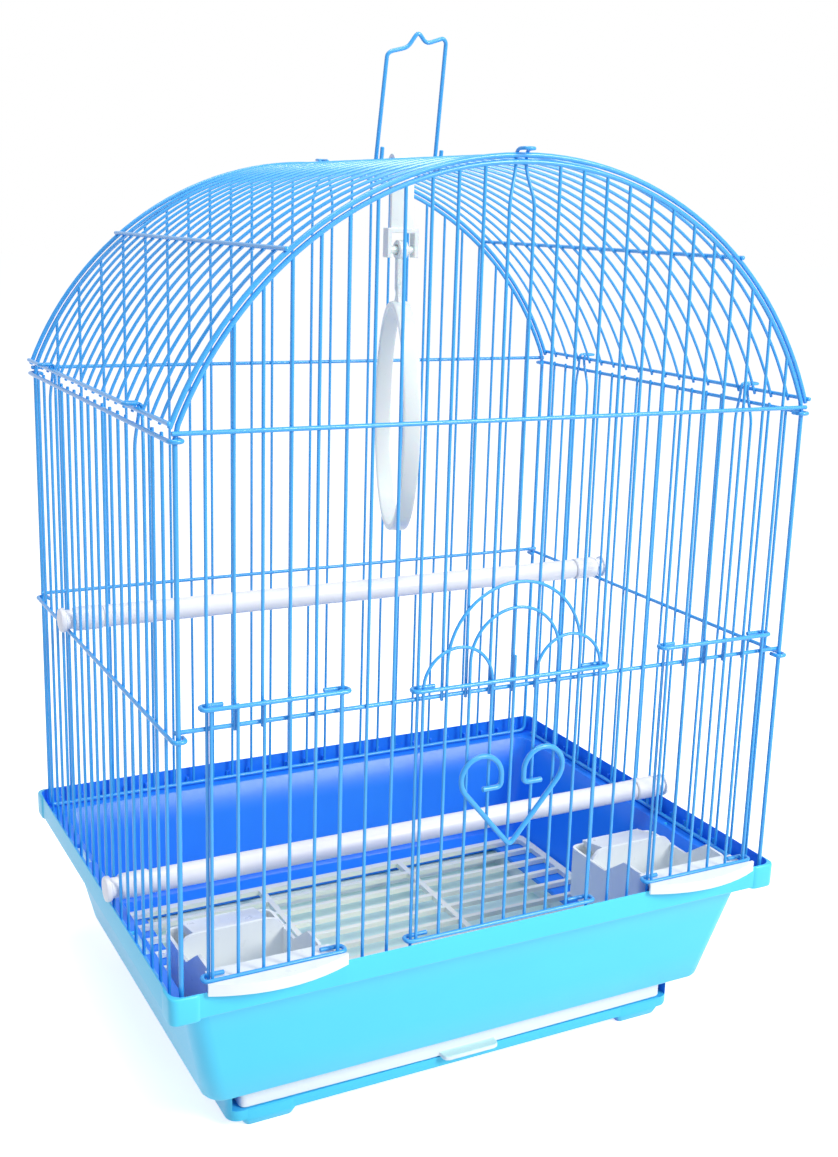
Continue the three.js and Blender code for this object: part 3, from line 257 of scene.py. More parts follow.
def lathe(profile, y, z, sides=40, hollow=False):
    """A turned piece along X: each row (x, radius) is a circle about the axis at (y, z). The ends are
    closed, or the last row is joined to the first where the piece is hollow."""
    profile = np.asarray(profile, float)
    angle = np.arange(sides) * 2 * math.pi / sides
    x = np.broadcast_to(profile[:, :1], (len(profile), sides))
    points = np.stack([x, y + profile[:, 1:] * np.cos(angle), z + profile[:, 1:] * np.sin(angle)], -1)
    faces = grid_faces(len(profile), sides, hollow)
    return points.reshape(-1, 3), faces.tolist() if hollow else capped(faces, len(profile), sides)


def slab(x0, x1, y0, y1, z0, z1):
    """A box between two corners."""
    x, y, z = np.meshgrid([x0, x1], [y0, y1], [z0, z1], indexing="ij")
    points = np.stack([x, y, z], -1).reshape(-1, 3)
    faces = [[0, 1, 3, 2], [4, 6, 7, 5], [0, 4, 5, 1], [2, 3, 7, 6], [0, 2, 6, 4], [1, 5, 7, 3]]
    return points, faces


def flipped_x(part):
    """The mirror image of a part, with its faces turned to point outwards again."""
    points, faces = part
    return points * [-1, 1, 1], [face[::-1] for face in faces]


# Pieces


def joined_mesh(name, parts):
    """One mesh of several parts, brought from millimetres to metres and to its place on the floor."""
    points, faces, start = [], [], 0
    for part_points, part_faces in parts:
        points.append(part_points)
        faces += [[start + corner for corner in face] for face in part_faces]
        start += len(part_points)
    points = (np.vstack(points) + [0, SET_BACK, 0]) * MM
    mesh = bpy.data.meshes.new(name)
    mesh.from_pydata(points.tolist(), [], faces)
    mesh.update()
    return mesh


def face_outwards(mesh):
    """Turns the faces of closed shells outwards."""
    shell = bmesh.new()
    shell.from_mesh(mesh)
    bmesh.ops.recalc_face_normals(shell, faces=shell.faces)
    shell.to_mesh(mesh)
    shell.free()


def piece(name, parts, finish, body, *replaced, edge=0.0, crease=40.0):
    """A finished piece: mesh, smooth shading up to the crease angle, rounded edges, body and finish."""
    mesh = parts if isinstance(parts, bpy.types.Mesh) else joined_mesh(name, parts)
    mesh.name = name
    face_outwards(mesh)
    mesh.shade_smooth()
    mesh.set_sharp_from_angle(angle=math.radians(crease))
    obj = bpy.data.objects.new(name, mesh)
    bpy.context.scene.collection.objects.link(obj)
    mesh.materials.clear()
    mesh.materials.append(make_materials()[finish])
    if edge:
        bevel = obj.modifiers.new("rounded edges", "BEVEL")
        bevel.width = edge * MM
        bevel.segments = 3
        bevel.limit_method = "ANGLE"
        bevel.angle_limit = math.radians(crease)
        bevel.harden_normals = True
    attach(obj, body)
    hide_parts(*replaced)


def solid_copy(node):
    """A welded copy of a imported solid's mesh, with its flat faces whole again."""
    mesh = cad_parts[node].data.copy()
    shell = bmesh.new()
    shell.from_mesh(mesh)
    bmesh.ops.remove_doubles(shell, verts=shell.verts, dist=0.002 * MM)
    bmesh.ops.dissolve_limit(
        shell, angle_limit=math.radians(0.6), verts=shell.verts, edges=shell.edges, delimit={"NORMAL"}
    )
    shell.to_mesh(mesh)
    shell.free()
    return mesh


def carved(mesh, cutters):
    """The mesh with the cutters' solids taken out of it."""
    scene = bpy.context.scene
    body = bpy.data.objects.new("carved body", mesh)
    tool = bpy.data.objects.new("carving tool", joined_mesh("carving tool", cutters))
    face_outwards(mesh)
    face_outwards(tool.data)
    scene.collection.objects.link(body)
    scene.collection.objects.link(tool)
    cut = body.modifiers.new("cut", "BOOLEAN")
    cut.operation = "DIFFERENCE"
    cut.solver = "EXACT"
    cut.object = tool
    bpy.context.view_layer.update()
    graph = bpy.context.evaluated_depsgraph_get()
    result = bpy.data.meshes.new_from_object(body.evaluated_get(graph))
    bpy.data.objects.remove(body)
    bpy.data.objects.remove(tool)
    return result


# Materials


class Flow:
    """A socket of a material's nodes. Sums, products and the like of it add the nodes that work them out."""

    def __init__(self, tree, socket=None):
        self.tree = tree
        self.socket = socket

    def node(self, kind, settings=None, inputs=None, output=0):
        """Adds a node, makes its settings, then fills its inputs with numbers, colours or links."""
        made = self.tree.nodes.new(kind)
        for name, value in (settings or {}).items():
            if name == "stops":
                ramp = made.color_ramp
                while len(ramp.elements) < len(value):
                    ramp.elements.new(0.5)
                for element, (place, colour) in zip(ramp.elements, value):
                    element.position = place
                    element.color = colour
            else:
                setattr(made, name, value)
        self.fill(made, inputs or {})
        return Flow(self.tree, made.outputs[output])

    def fill(self, node, values):
        """Sets a node's inputs, or links them where the value is a socket."""
        for name, value in values.items():
            if isinstance(value, Flow):
                self.tree.links.new(value.socket, node.inputs[name])
            else:
                node.inputs[name].default_value = value

    def maths(self, operation, first, second=0.0):
        return self.node("ShaderNodeMath", {"operation": operation}, {0: first, 1: second})

    def __add__(self, other):
        return self.maths("ADD", self, other)

    def __radd__(self, other):
        return self.maths("ADD", other, self)

    def __mul__(self, other):
        return self.maths("MULTIPLY", self, other)

    def __gt__(self, other):
        return self.maths("GREATER_THAN", self, other)

    def __lt__(self, other):
        return self.maths("LESS_THAN", self, other)


def blended(flow, share, first, second):
    """Colour between two colours, by a share from 0 to 1."""
    settings = {"data_type": "RGBA", "blend_type": "MIX"}
    return flow.node("ShaderNodeMix", settings, {0: share, 6: first, 7: second}, output=2)


def speckle(flow, coords, size_mm, detail=3.0, roughness=0.55):
    """Noise whose cells are about the given size, from 0 to 1."""
    inputs = {"Vector": coords, "Scale": 1.0 / (size_mm * MM), "Detail": detail, "Roughness": roughness}
    return flow.node("ShaderNodeTexNoise", {"noise_dimensions": "3D"}, inputs)


def start_material(name):
    """A new material with its shader, and the object's own coordinates."""
    material = bpy.data.materials.new(name)
    material.use_nodes = True
    flow = Flow(material.node_tree)
    shader = flow.tree.nodes["Principled BSDF"]
    return material, shader, flow, flow.node("ShaderNodeTexCoord", output="Object")


def bumped(flow, height, depth_mm):
    """A surface normal from a height of 0 to 1, where 1 stands for the given depth."""
    inputs = {"Height": height, "Distance": depth_mm * MM, "Strength": 1.0}
    return flow.node("ShaderNodeBump", None, inputs)


def tinted(colour, factor):
    """A colour made darker or lighter."""
    return tuple(min(1.0, channel * factor) for channel in colour[:3]) + (1.0,)


def enamel(colour):
    """Sprayed and baked paint on wire: an even colour with a slightly thicker and thinner coat, fine
    orange peel and a soft gloss."""
    material, shader, flow, coords = start_material("wire_enamel")
    patches = speckle(flow, coords, 14.0, detail=2.0)
    peel = speckle(flow, coords, 1.1, detail=2.0)
    paint = blended(flow, patches, tinted(colour, 0.9), tinted(colour, 1.08))
    flow.fill(shader, {
        "Base Color": paint,
        "Roughness": 0.24 + peel * 0.16,
        "Coat Weight": 0.35,
        "Coat Roughness": 0.12,
        "Normal": bumped(flow, peel, 0.02),
    })
    return material


def moulded(name, light, deep_tone_and_shade, grain_mm=1.6, rough=0.32, depth_mm=0.012, subsurface=0.0, inner=None):
    """Moulded plastic: a colour that drifts a little with the wall's thickness, a fine grain from the mould,
    and faint sink marks. Where an inner mask is given, the faces it marks take the second colour, which there
    is painted shade; without a mask the second colour is only a random darker tone."""
    material, shader, flow, coords = start_material(name)
    drift = speckle(flow, coords, 45.0, detail=2.0)
    grain = speckle(flow, coords, grain_mm, detail=4.0, roughness=0.6)
    sink = speckle(flow, coords, 22.0, detail=1.0)
    share = drift
    # Painted shade: the mask lays the second colour on the faces that fall in shade.
    if inner is not None:
        share = inner(flow, coords) * 0.9 + drift * 0.1
    colour = blended(flow, share, light + (1.0,), deep_tone_and_shade + (1.0,))
    height = grain * 0.5 + sink * 0.5
    flow.fill(shader, {
        "Base Color": colour,
        "Roughness": rough - 0.08 + grain * 0.16,
        "Subsurface Weight": subsurface,
        "Subsurface Scale": 0.004,
        "Normal": bumped(flow, height, depth_mm),
    })
    return material


def facing_up(flow, coords, low_mm, high_mm):
    """1 on faces that look up between two heights, 0 elsewhere."""
    geometry = flow.node("ShaderNodeNewGeometry", output="True Normal")
    upward = flow.node("ShaderNodeSeparateXYZ", None, {"Vector": geometry}, output="Z")
    height = flow.node("ShaderNodeSeparateXYZ", None, {"Vector": coords}, output="Z")
    return (upward > 0.6) * (height > low_mm * MM) * (height < high_mm * MM)


def tray_painted_shade_mask(flow, coords):
    """Mask of the painted shade on the tray: 1 on the tray's floor."""
    return facing_up(flow, coords, 11.0, 16.0)


def tub_painted_shade_mask(flow, coords):
    """Mask of the painted shade in the tub: 1 on faces that look inwards to the middle of the tub and on its
    floor and ledge, 0 on those that look outwards: the direction from the middle of the tub times the face's
    own direction, in the level plane."""
    geometry = flow.node("ShaderNodeNewGeometry", output="True Normal")
    level = {"operation": "MULTIPLY"}
    flat = flow.node("ShaderNodeVectorMath", level, {0: coords, 1: (1.0, 1.0, 0.0)})
    product = {"operation": "DOT_PRODUCT"}
    across = flow.node("ShaderNodeVectorMath", product, {0: flat, 1: geometry}, output="Value")
    inward = flow.node(
        "ShaderNodeMapRange", {"clamp": True}, {"Value": across, "From Min": 0.004, "From Max": -0.012}
    )
    return flow.maths("MAXIMUM", inward, facing_up(flow, coords, 26.0, 94.0))


MATERIALS = {}


def make_materials():
    """The finishes of all pieces, made once from the colours that the user set."""
    if MATERIALS:
        return MATERIALS
    colours = bpy.context.scene.cage_colours
    MATERIALS["wire"] = enamel(tuple(colours.wire))
    # The tub's inner walls, floor and ledge take a deep blue that is painted shade.
    outside, inside = tuple(colours.tub), tuple(colours.tub_painted_shade)
    MATERIALS["tub"] = moulded("tub_plastic", outside, inside, rough=0.34, depth_mm=0.03, inner=tub_painted_shade_mask)
    # The tray's floor takes a green-blue tint that is painted shade and painted light bounced from the tub.
    walls, floor = tuple(colours.white), tuple(colours.tray_floor_painted_shade)
    smooth = {"grain_mm": 7.0, "depth_mm": 0.004}
    MATERIALS["tray"] = moulded("tray_plastic", walls, floor, rough=0.36, inner=tray_painted_shade_mask, **smooth)
    for name, deeper, finish in (
        ("white", 0.96, {"rough": 0.34, **smooth}),
        ("cup", 0.97, {"rough": 0.3, **smooth}),
        ("grate", 0.93, {"rough": 0.42, "subsurface": 0.1}),
        ("swing", 0.94, {"rough": 0.3, "subsurface": 0.2}),
    ):
        light = tuple(getattr(colours, name))
        MATERIALS[name] = moulded(f"{name}_plastic", light, tinted(light, deeper)[:3], **finish)
    return MATERIALS


# Wire panels


def arch_height(x):
    """Height of the arch over a place across the front."""
    return ARCH_CENTRE + np.sqrt(ARCH_RADIUS**2 - np.asarray(x) ** 2)


def tab_path(place, side, out, half_span, low, draw_from, inset, over_top):
    """Two wires drawn together, led up behind a roof wire and folded over it, then joined by a bend."""
    place, side, out = (np.asarray(v, float) for v in (place, side, out))

    def spot(s, o, z):
        return (place + side * s + out * o) * [1, 1, 0] + [0, 0, z]

    def leg(sign):
        return [
            spot(sign * half_span, 0, low),
            spot(sign * half_span, 0, draw_from),
            spot(sign * TAB_HALF, -inset, draw_from + TAB_DRAW),
            spot(sign * TAB_HALF, -inset, over_top),
            spot(sign * TAB_HALF, TAB_FOLD - inset, over_top),
        ]

    return rounded(leg(-1) + leg(1)[::-1], TAB_BEND, 6)


def end_panel(y, openings, turned, sizes, draw):
    """One end of the cage: frame wire with its arch, upright wires, two bars, top tab and weld drops.
    The panel is worked out facing the front and turned half round for the back."""
    post, thin, bar = sizes
    overlap = 0.02
    corner_bend = 4.0
    straight_end = 30

    def foot(k):
        """Lowest point of an upright: the rail, or the middle bar over an opening."""
        opened = any(first < k < last for first, last in openings)
        return MID_Z - bar / 2 - WIRE_NUB if opened else RAIL_Z

    arch_low = SHOULDER_ANGLE + overlap
    arch = arc((0, 0, ARCH_CENTRE), ARCH_RADIUS, math.pi - arch_low, arch_low, 72)
    left = np.array([(-HALF_WIDTH, 0, SHOULDER_Z - straight_end), (-HALF_WIDTH, 0, SHOULDER_Z - 3)])
    foot_left = rounded(
        [(0, 0, RAIL_Z), (-HALF_WIDTH, 0, RAIL_Z), (-HALF_WIDTH, 0, RAIL_Z + straight_end)], corner_bend
    )
    half = np.vstack([foot_left, left])
    parts = [tube(np.vstack([half, arch, half[::-1] * [-1, 1, 1]]), post, 14)]
    reach = HALF_WIDTH + post / 2
    top_reach = reach + END_BAR_PAST
    parts.append(straight((-top_reach, -BAR_ON_THIN, SHOULDER_Z), (top_reach, -BAR_ON_THIN, SHOULDER_Z), bar))
    parts.append(straight((-reach, BAR_ON_THIN, MID_Z), (reach, BAR_ON_THIN, MID_Z), bar))
    welds = []
    for k in range(1, FRONT_PITCHES):
        if k in (FRONT_TAB, FRONT_TAB + 1):
            continue
        x = -HALF_WIDTH + k * FRONT_PITCH
        guide = any(k in pair for pair in openings)
        sway = (0, 0, 0) if guide else (draw.uniform(-WIRE_SWAY, WIRE_SWAY), 0, 0)
        parts.append(straight((x, 0, foot(k)), (x, 0, arch_height(x)), thin, sway))
        welds += [(x, -WELD_OUT, SHOULDER_Z), (x, WELD_OUT, MID_Z), (x, 0, arch_height(x) - ARCH_WELD_DROP)]
    tab_x = -HALF_WIDTH + (FRONT_TAB + 0.5) * FRONT_PITCH
    inset = (post + thin) / 2 + HOOK_PLAY
    draw_from = arch_height(tab_x) - TAB_DRAW - 3
    path = tab_path(
        (tab_x, 0, 0), (1, 0, 0), (0, -1, 0), FRONT_PITCH / 2, foot(FRONT_TAB), draw_from, inset,
        ARCH_CENTRE + ROOF_RADIUS + inset,
    )
    parts.append(tube(path, thin, 10))
    for x in (tab_x - FRONT_PITCH / 2, tab_x + FRONT_PITCH / 2):
        welds += [(x, -WELD_OUT, SHOULDER_Z), (x, WELD_OUT, MID_Z)]
    parts.append(blobs(welds, FRONT_WELD))
    turn = np.array([-1, -1, 1]) if turned else np.array([1, 1, 1])
    return [(points * turn + [0, y, 0], faces) for points, faces in parts]


def hooked_bar(z, bar):
    """A side bar whose two ends are bent round the corner posts."""
    inner = HALF_WIDTH - HOOK_RADIUS
    outer = HALF_WIDTH + HOOK_RADIUS
    end = HALF_DEPTH + HOOK_RADIUS
    stub = HALF_DEPTH - SIDE_STUB
    corners = [
        (inner, -stub, z), (inner, -end, z), (outer, -end, z),
        (outer, end, z), (inner, end, z), (inner, stub, z),
    ]
    return tube(rounded(corners, HOOK_RADIUS, 8), bar, 12)


def side_panel(sizes, draw):
    """The right-hand side: foot rail, two hooked bars, upright wires and two tabs over the edge bar."""
    post, thin, bar = sizes
    rail_end = HALF_DEPTH - RAIL_INSET
    parts = [
        straight((SIDE_WIRE_X, -rail_end, RAIL_Z), (SIDE_WIRE_X, rail_end, RAIL_Z), post),
        hooked_bar(SIDE_TOP_Z, bar),
        hooked_bar(SIDE_MID_Z, bar),
    ]
    top = SIDE_TOP_Z + bar / 2 + WIRE_NUB
    welds = []
    for i in range(1, SIDE_PITCHES):
        y = -HALF_DEPTH + i * SIDE_PITCH
        welds += [(SIDE_WIRE_X + WELD_OUT, y, SIDE_TOP_Z), (SIDE_WIRE_X + WELD_OUT, y, SIDE_MID_Z)]
        if any(i in (first, first + 1) for first in SIDE_TABS):
            continue
        held = any(i in (first, first + 1) for first in PERCH_WIRES)
        sway = (0, 0, 0) if held else (0, draw.uniform(-WIRE_SWAY, WIRE_SWAY), 0)
        parts.append(straight((SIDE_WIRE_X, y, RAIL_Z), (SIDE_WIRE_X, y, top), thin, sway))
    inset = (bar + thin) / 2 + HOOK_PLAY
    for first in SIDE_TABS:
        y = -HALF_DEPTH + (first + 0.5) * SIDE_PITCH
        path = tab_path(
            (SIDE_WIRE_X, y, 0), (0, 1, 0), (1, 0, 0), SIDE_PITCH / 2, RAIL_Z, EDGE_BAR_Z - TAB_DRAW - bar,
            SIDE_WIRE_X - (EDGE_BAR_X - inset), EDGE_BAR_Z + inset,
        )
        parts.append(tube(path, thin, 10))
    parts.append(blobs(welds, SIDE_WELD))
    return parts


def roof_panel(sizes):
    """Round roof: a thick arc at each end, thin arcs between, and four bars laid along them."""
    post, thin, bar = sizes
    parts, welds = [], []
    bar_angle = math.radians(ROOF_BAR_DEGREES)
    weld_radius = ROOF_RADIUS + WELD_OUT
    angles = (-EDGE_ANGLE, -bar_angle, bar_angle, EDGE_ANGLE)
    for i in range(SIDE_PITCHES + 1):
        y = -HALF_DEPTH + i * SIDE_PITCH
        at_end = i in (0, SIDE_PITCHES)
        low = SHOULDER_ANGLE + 0.007 if at_end else THIN_ARC_ANGLE
        path = arc((0, y, ARCH_CENTRE), ROOF_RADIUS, math.pi - low, low, 56)
        parts.append(tube(path, post if at_end else thin, 12 if at_end else 8))
        for angle in angles:
            welds.append((weld_radius * math.sin(angle), y, ARCH_CENTRE + weld_radius * math.cos(angle)))
    end = HALF_DEPTH + ROOF_BAR_PAST
    for angle in angles:
        x = ROOF_BAR_RADIUS * math.sin(angle)
        z = ARCH_CENTRE + ROOF_BAR_RADIUS * math.cos(angle)
        parts.append(straight((x, -end, z), (x, end, z), bar, steps=10, sides=12))
    parts.append(blobs(welds, ROOF_WELD))
    return parts


# Doors


def door_bar(centre, span, z, stub, bar):
    """A door bar whose ends wrap round two upright wires of the front panel."""
    radius = (DOOR_STUB_Y - DOOR_BAR_Y) / 2
    outer = span + radius
    corners = [
        (centre - span + stub, DOOR_STUB_Y, z), (centre - outer, DOOR_STUB_Y, z),
        (centre - outer, DOOR_BAR_Y, z), (centre + outer, DOOR_BAR_Y, z),
        (centre + outer, DOOR_STUB_Y, z), (centre + span - stub, DOOR_STUB_Y, z),
    ]
    return tube(rounded(corners, radius, 8), bar, 12)


def arch_wire(x, radius, base, top):
    """A wire that goes up, round half a circle, and down again."""
    over = arc((x, DOOR_WIRE_Y, top - radius), radius, math.pi, 0, 28)
    return np.vstack([[(x - radius, DOOR_WIRE_Y, base)], over, [(x + radius, DOOR_WIRE_Y, base)]])


def door_welds(places, heights):
    """Weld drops in front of a door's wires at its bars."""
    return blobs([(x, DOOR_WIRE_Y - WELD_OUT, z) for x in places for z in heights], FRONT_WELD)


def main_door(sizes):
    """The big door: two hooked bars, a middle wire, two nested arches and a small arch on each side."""
    _, thin, bar = sizes
    heights = (MAIN_DOOR_LOW, DOOR_TOP)
    parts = [door_bar(0, MAIN_DOOR_SPAN, z, MAIN_STUB, bar) for z in heights]
    middle_top = DOOR_TOP + MIDDLE_WIRE_RISE
    parts.append(straight((0, DOOR_WIRE_Y, MAIN_DOOR_LOW), (0, DOOR_WIRE_Y, middle_top), thin))
    for steps, radius_steps, height in DOOR_ARCHES:
        path = arch_wire(steps * DOOR_PITCH, radius_steps * DOOR_PITCH, MAIN_DOOR_LOW, DOOR_TOP + height)
        parts.append(tube(path, thin, 10))
    parts.append(door_welds([k * DOOR_PITCH for k in range(-4, 5)], heights))
    return parts


def heart(wire=2.6):
    """A heart of one wire: two straight sides from the tip, two lobes, and a short stub inside each."""
    in_front = 0.8 + 0.35
    y = DOOR_WIRE_Y - in_front - wire / 2
    tip = RIM_TOP + 42.5
    height = 50
    lobe = 11.0
    spread = 17.3
    lobe_z = tip + height - wire / 2 - lobe
    reach = math.hypot(spread, lobe_z - tip)
    touch = math.atan2(tip - lobe_z, -spread) + math.acos(lobe / reach)
    inner = spread - lobe
    half = arc((spread, y, lobe_z), lobe, touch, math.pi, 22)
    stub_z = lobe_z - 6
    stub = rounded([(inner, y, lobe_z), (inner, y, stub_z), (inner + 10, y, stub_z)], 4.0, 6)
    side = np.vstack([half, stub[1:]])
    tip_curve = rounded([side[0] * [-1, 1, 1], (0, y, tip), side[0]], 3.0, 6)
    return [tube(np.vstack([side[::-1] * [-1, 1, 1], tip_curve[1:-1], side]), wire, 14)]


def feeder_door(centre, sizes):
    """A feeder door: two hooked bars and six upright wires."""
    _, thin, bar = sizes
    heights = (FEEDER_DOOR_LOW, FEEDER_DOOR_TOP)
    parts = [door_bar(centre, FEEDER_SPAN, z, FEEDER_STUB, bar) for z in heights]
    places = [centre + (k - (FEEDER_WIRES - 1) / 2) * DOOR_PITCH for k in range(FEEDER_WIRES)]
    top = FEEDER_DOOR_TOP + WIRE_NUB
    parts += [straight((x, DOOR_WIRE_Y, FEEDER_DOOR_LOW), (x, DOOR_WIRE_Y, top), thin) for x in places]
    parts.append(door_welds(places, heights))
    return parts


HANDLE_Y = -HALF_DEPTH + 10 * SIDE_PITCH
HANDLE_AXIS_Z = 464.152


def handle(bar):
    """The carrying handle: hooked under a roof wire at each foot, up, and across with a notch and a peak.
    Each hook is centred on the line that the handle tilts about, and the right shoulder is bent higher."""
    hook = 3.15
    top = 2.45
    offset = 3.0
    foot = 17
    bend = 2.8

    def half(sign):
        return [
            (sign * foot, -hook, 8), (sign * foot, -hook, -hook), (sign * foot, hook, -hook),
            (sign * foot, hook, 4), (sign * 16.2, top, 56.4 + 4.2 * sign),
            (sign * 14.4, top, 58.2 + 4.2 * sign), (sign * 5, top, 57.8 + 1.2 * sign), (sign * 0.4, top, 64),
        ]

    corners = np.array(half(-1)[:-1] + [(0, top, 64.5)] + half(1)[:-1][::-1], float)
    path = rounded(corners, bend, 7)
    lean = math.radians(9)
    y = path[:, 1] * math.cos(lean) - path[:, 2] * math.sin(lean)
    z = path[:, 1] * math.sin(lean) + path[:, 2] * math.cos(lean)
    placed = np.stack([path[:, 0] + offset, y + HANDLE_Y, z + HANDLE_AXIS_Z], -1)
    return [tube(placed, bar, 12)]


# Tub


def wall_row(z, inward, radius, level=None):
    """A row of the tub's sloping wall, whose half sizes at height z grow evenly from foot to rim, moved
    inwards; it may be put at another level."""
    share = (z - TUB_LOW) / TUB_RISE
    x, y = (foot + share * (top - foot) - inward for foot, top in zip(TUB_FOOT, TUB_SPREAD))
    return x, y, radius, z if level is None else level


def tub_bowl():
    """The tub's wall as one closed section carried round: outside, rim, channel, ledge, inside, floor."""
    rows = [(144.2, 104.8, 7.8, TUB_LOW), (145.6, 106.2, 9.2, TUB_LOW + 0.5)]
    rows += [wall_row(z, 0, 10.5) for z in (TUB_LOW + 1.8, 45, 65, RIM_LOW - 0.8)]
    rows += [
        wall_row(RIM_LOW, -0.5, 10.8, RIM_LOW - 0.1), (170.6, 129.2, 7.4, RIM_LOW),
        (171.1, 129.6, 7.8, RIM_LOW + 0.6), (171.15, 129.7, 7.8, RIM_TOP - 1.0),
        (170.95, 129.5, 7.6, RIM_TOP - 0.2), (170.7, 129.25, 7.2, RIM_TOP),
        (170.4, 128.95, 6.6, RIM_TOP - 0.3), (170.4, 128.95, 6.6, CHANNEL_FLOOR),
        wall_row(CHANNEL_FLOOR, 2.0, 8.5), wall_row(CHANNEL_FLOOR, 2.4, 8.1, CHANNEL_FLOOR - 0.4),
    ]
    rows += [wall_row(z, 2.5, 8.0) for z in (70, 50, TUB_LOW + 5)]
    rows += [
        wall_row(FLOOR_TOP, 3.0, 7.5, FLOOR_TOP + 0.5), wall_row(FLOOR_TOP, 4.2, 6.5),
        (121.0, 85.0, 3.5, FLOOR_TOP), (*TUB_OPENING, 3.0, FLOOR_TOP - 0.5), (*TUB_OPENING, 3.0, TUB_LOW),
    ]
    return ring_stack(rows, 10)


def tub_mesh():
    """The bowl with the long slots through its side ledges."""
    slot_x, slot_y, half_width, half_length = 163.4, 55, 1.5, 12.5
    cutters = []
    for x in (-slot_x, slot_x):
        for y in (-slot_y, slot_y):
            cutters.append(slab(x - half_width, x + half_width, y - half_length, y + half_length, 84, 92))
    return carved(joined_mesh("tub", [tub_bowl()]), cutters)


def plinth_mesh():
    """The plinth under the tub: four walls with a sill, and the tray's opening cut through the front."""
    inner_x, inner_y, top = 130.5, 94.5, 24.9
    levels = (
        (131.6, 95.6, 5.6, SILL_LOW), (132.5, 96.5, 6.5, SILL_LOW + 0.4),
        (132.85, 96.85, 6.9, SILL_LOW + 1.4), (132.85, 96.85, 6.9, top), (inner_x, inner_y, 4.5, top),
        (inner_x, inner_y, 4.5, SILL_TOP), (*TUB_OPENING, 3.0, SILL_TOP), (*TUB_OPENING, 3.0, SILL_LOW),
    )
    mouth = slab(-inner_x, inner_x, -120, -90, SILL_TOP, 22.5)
    return carved(joined_mesh("plinth", [ring_stack(levels, 8)]), [mouth])


def block_mesh():
    """Corner blocks of the rim, cut back to a skin outside the wall and the channel."""
    levels = (
        (7.2, 3.8, RIM_LOW - 1.0), (7.7, 4.1, RIM_LOW - 0.6), (7.95, 4.4, RIM_LOW + 0.6),
        (8.0, 4.4, RIM_TOP - 1.2), (7.75, 4.2, RIM_TOP - 0.35), (7.3, 3.8, RIM_TOP - 0.04),
    )
    rows = [(half, half, radius, z) for half, radius, z in levels]
    parts = [ring_stack(rows, 6, False, (sx * 163.9, sy * 122.45)) for sx in (-1, 1) for sy in (-1, 1)]
    room = [wall_row(z, 1.2, 9.0) for z in (80.0, CHANNEL_FLOOR - 0.01)]
    room += [(170.42, 128.97, 6.6, z) for z in (CHANNEL_FLOOR, RIM_TOP + 3)]
    return carved(joined_mesh("blocks", parts), [ring_stack(room, 10, False)])


def foot_parts():
    """The four feet of the plinth, drawn in towards the floor."""
    rows = (
        (12.4, 5.2, 2.6, 0), (12.9, 5.7, 3.0, 0.5), (14.8, 6.8, 3.8, 3.6), (15, 7, 4, 4.4), (15, 7, 4, 9.4),
    )
    return [ring_stack(rows, 5, False, (sx * 111, sy * 90)) for sx in (-1, 1) for sy in (-1, 1)]


def rib_parts():
    """Small upright ribs on the channel's floor, against the inside of the rim, outside the wires."""
    parts = []
    half, middle_x, middle_y, reach = 0.8, 169.5, 128.0, 1.1
    heights = (CHANNEL_FLOOR - 0.2, CHANNEL_FLOOR + 4.6)
    for sign in (-1, 1):
        x, y = sign * middle_x, sign * middle_y
        for along in np.arange(-12, 13) * RIB_PITCH:
            parts.append(slab(along - half, along + half, y - reach, y + reach, *heights))
        for along in np.arange(-8, 9) * RIB_PITCH:
            parts.append(slab(x - reach, x + reach, along - half, along + half, *heights))
    return parts


# Swing


def hoop(half_width, half_height, centre_z, thick, band, turn):
    """A flat band bent to an oval: the section is a rounded rectangle, (cos, sin) of an angle taken to
    the power 0.35 with their signs kept, carried round the oval's middle line."""
    steps, sides, power = 96, 16, 0.35
    around = np.arange(steps) * 2 * math.pi / steps
    section = np.arange(sides) * 2 * math.pi / sides
    corner_in = np.sign(np.cos(section)) * np.abs(np.cos(section)) ** power * thick / 2
    corner_side = np.sign(np.sin(section)) * np.abs(np.sin(section)) ** power * band / 2
    middle_x, middle_z = half_width - thick / 2, half_height - thick / 2
    out = np.stack([np.sin(around) / middle_x, -np.cos(around) / middle_z], -1)
    out /= np.linalg.norm(out, axis=1, keepdims=True)
    level = middle_x * np.sin(around)[:, None] + out[:, :1] * corner_in
    z = centre_z - middle_z * np.cos(around)[:, None] + out[:, 1:] * corner_in
    across = np.broadcast_to(corner_side, level.shape)
    x = level * math.cos(turn) - across * math.sin(turn)
    y = level * math.sin(turn) + across * math.cos(turn)
    return np.stack([x, y, z], -1).reshape(-1, 3), grid_faces(steps, sides, True).tolist()


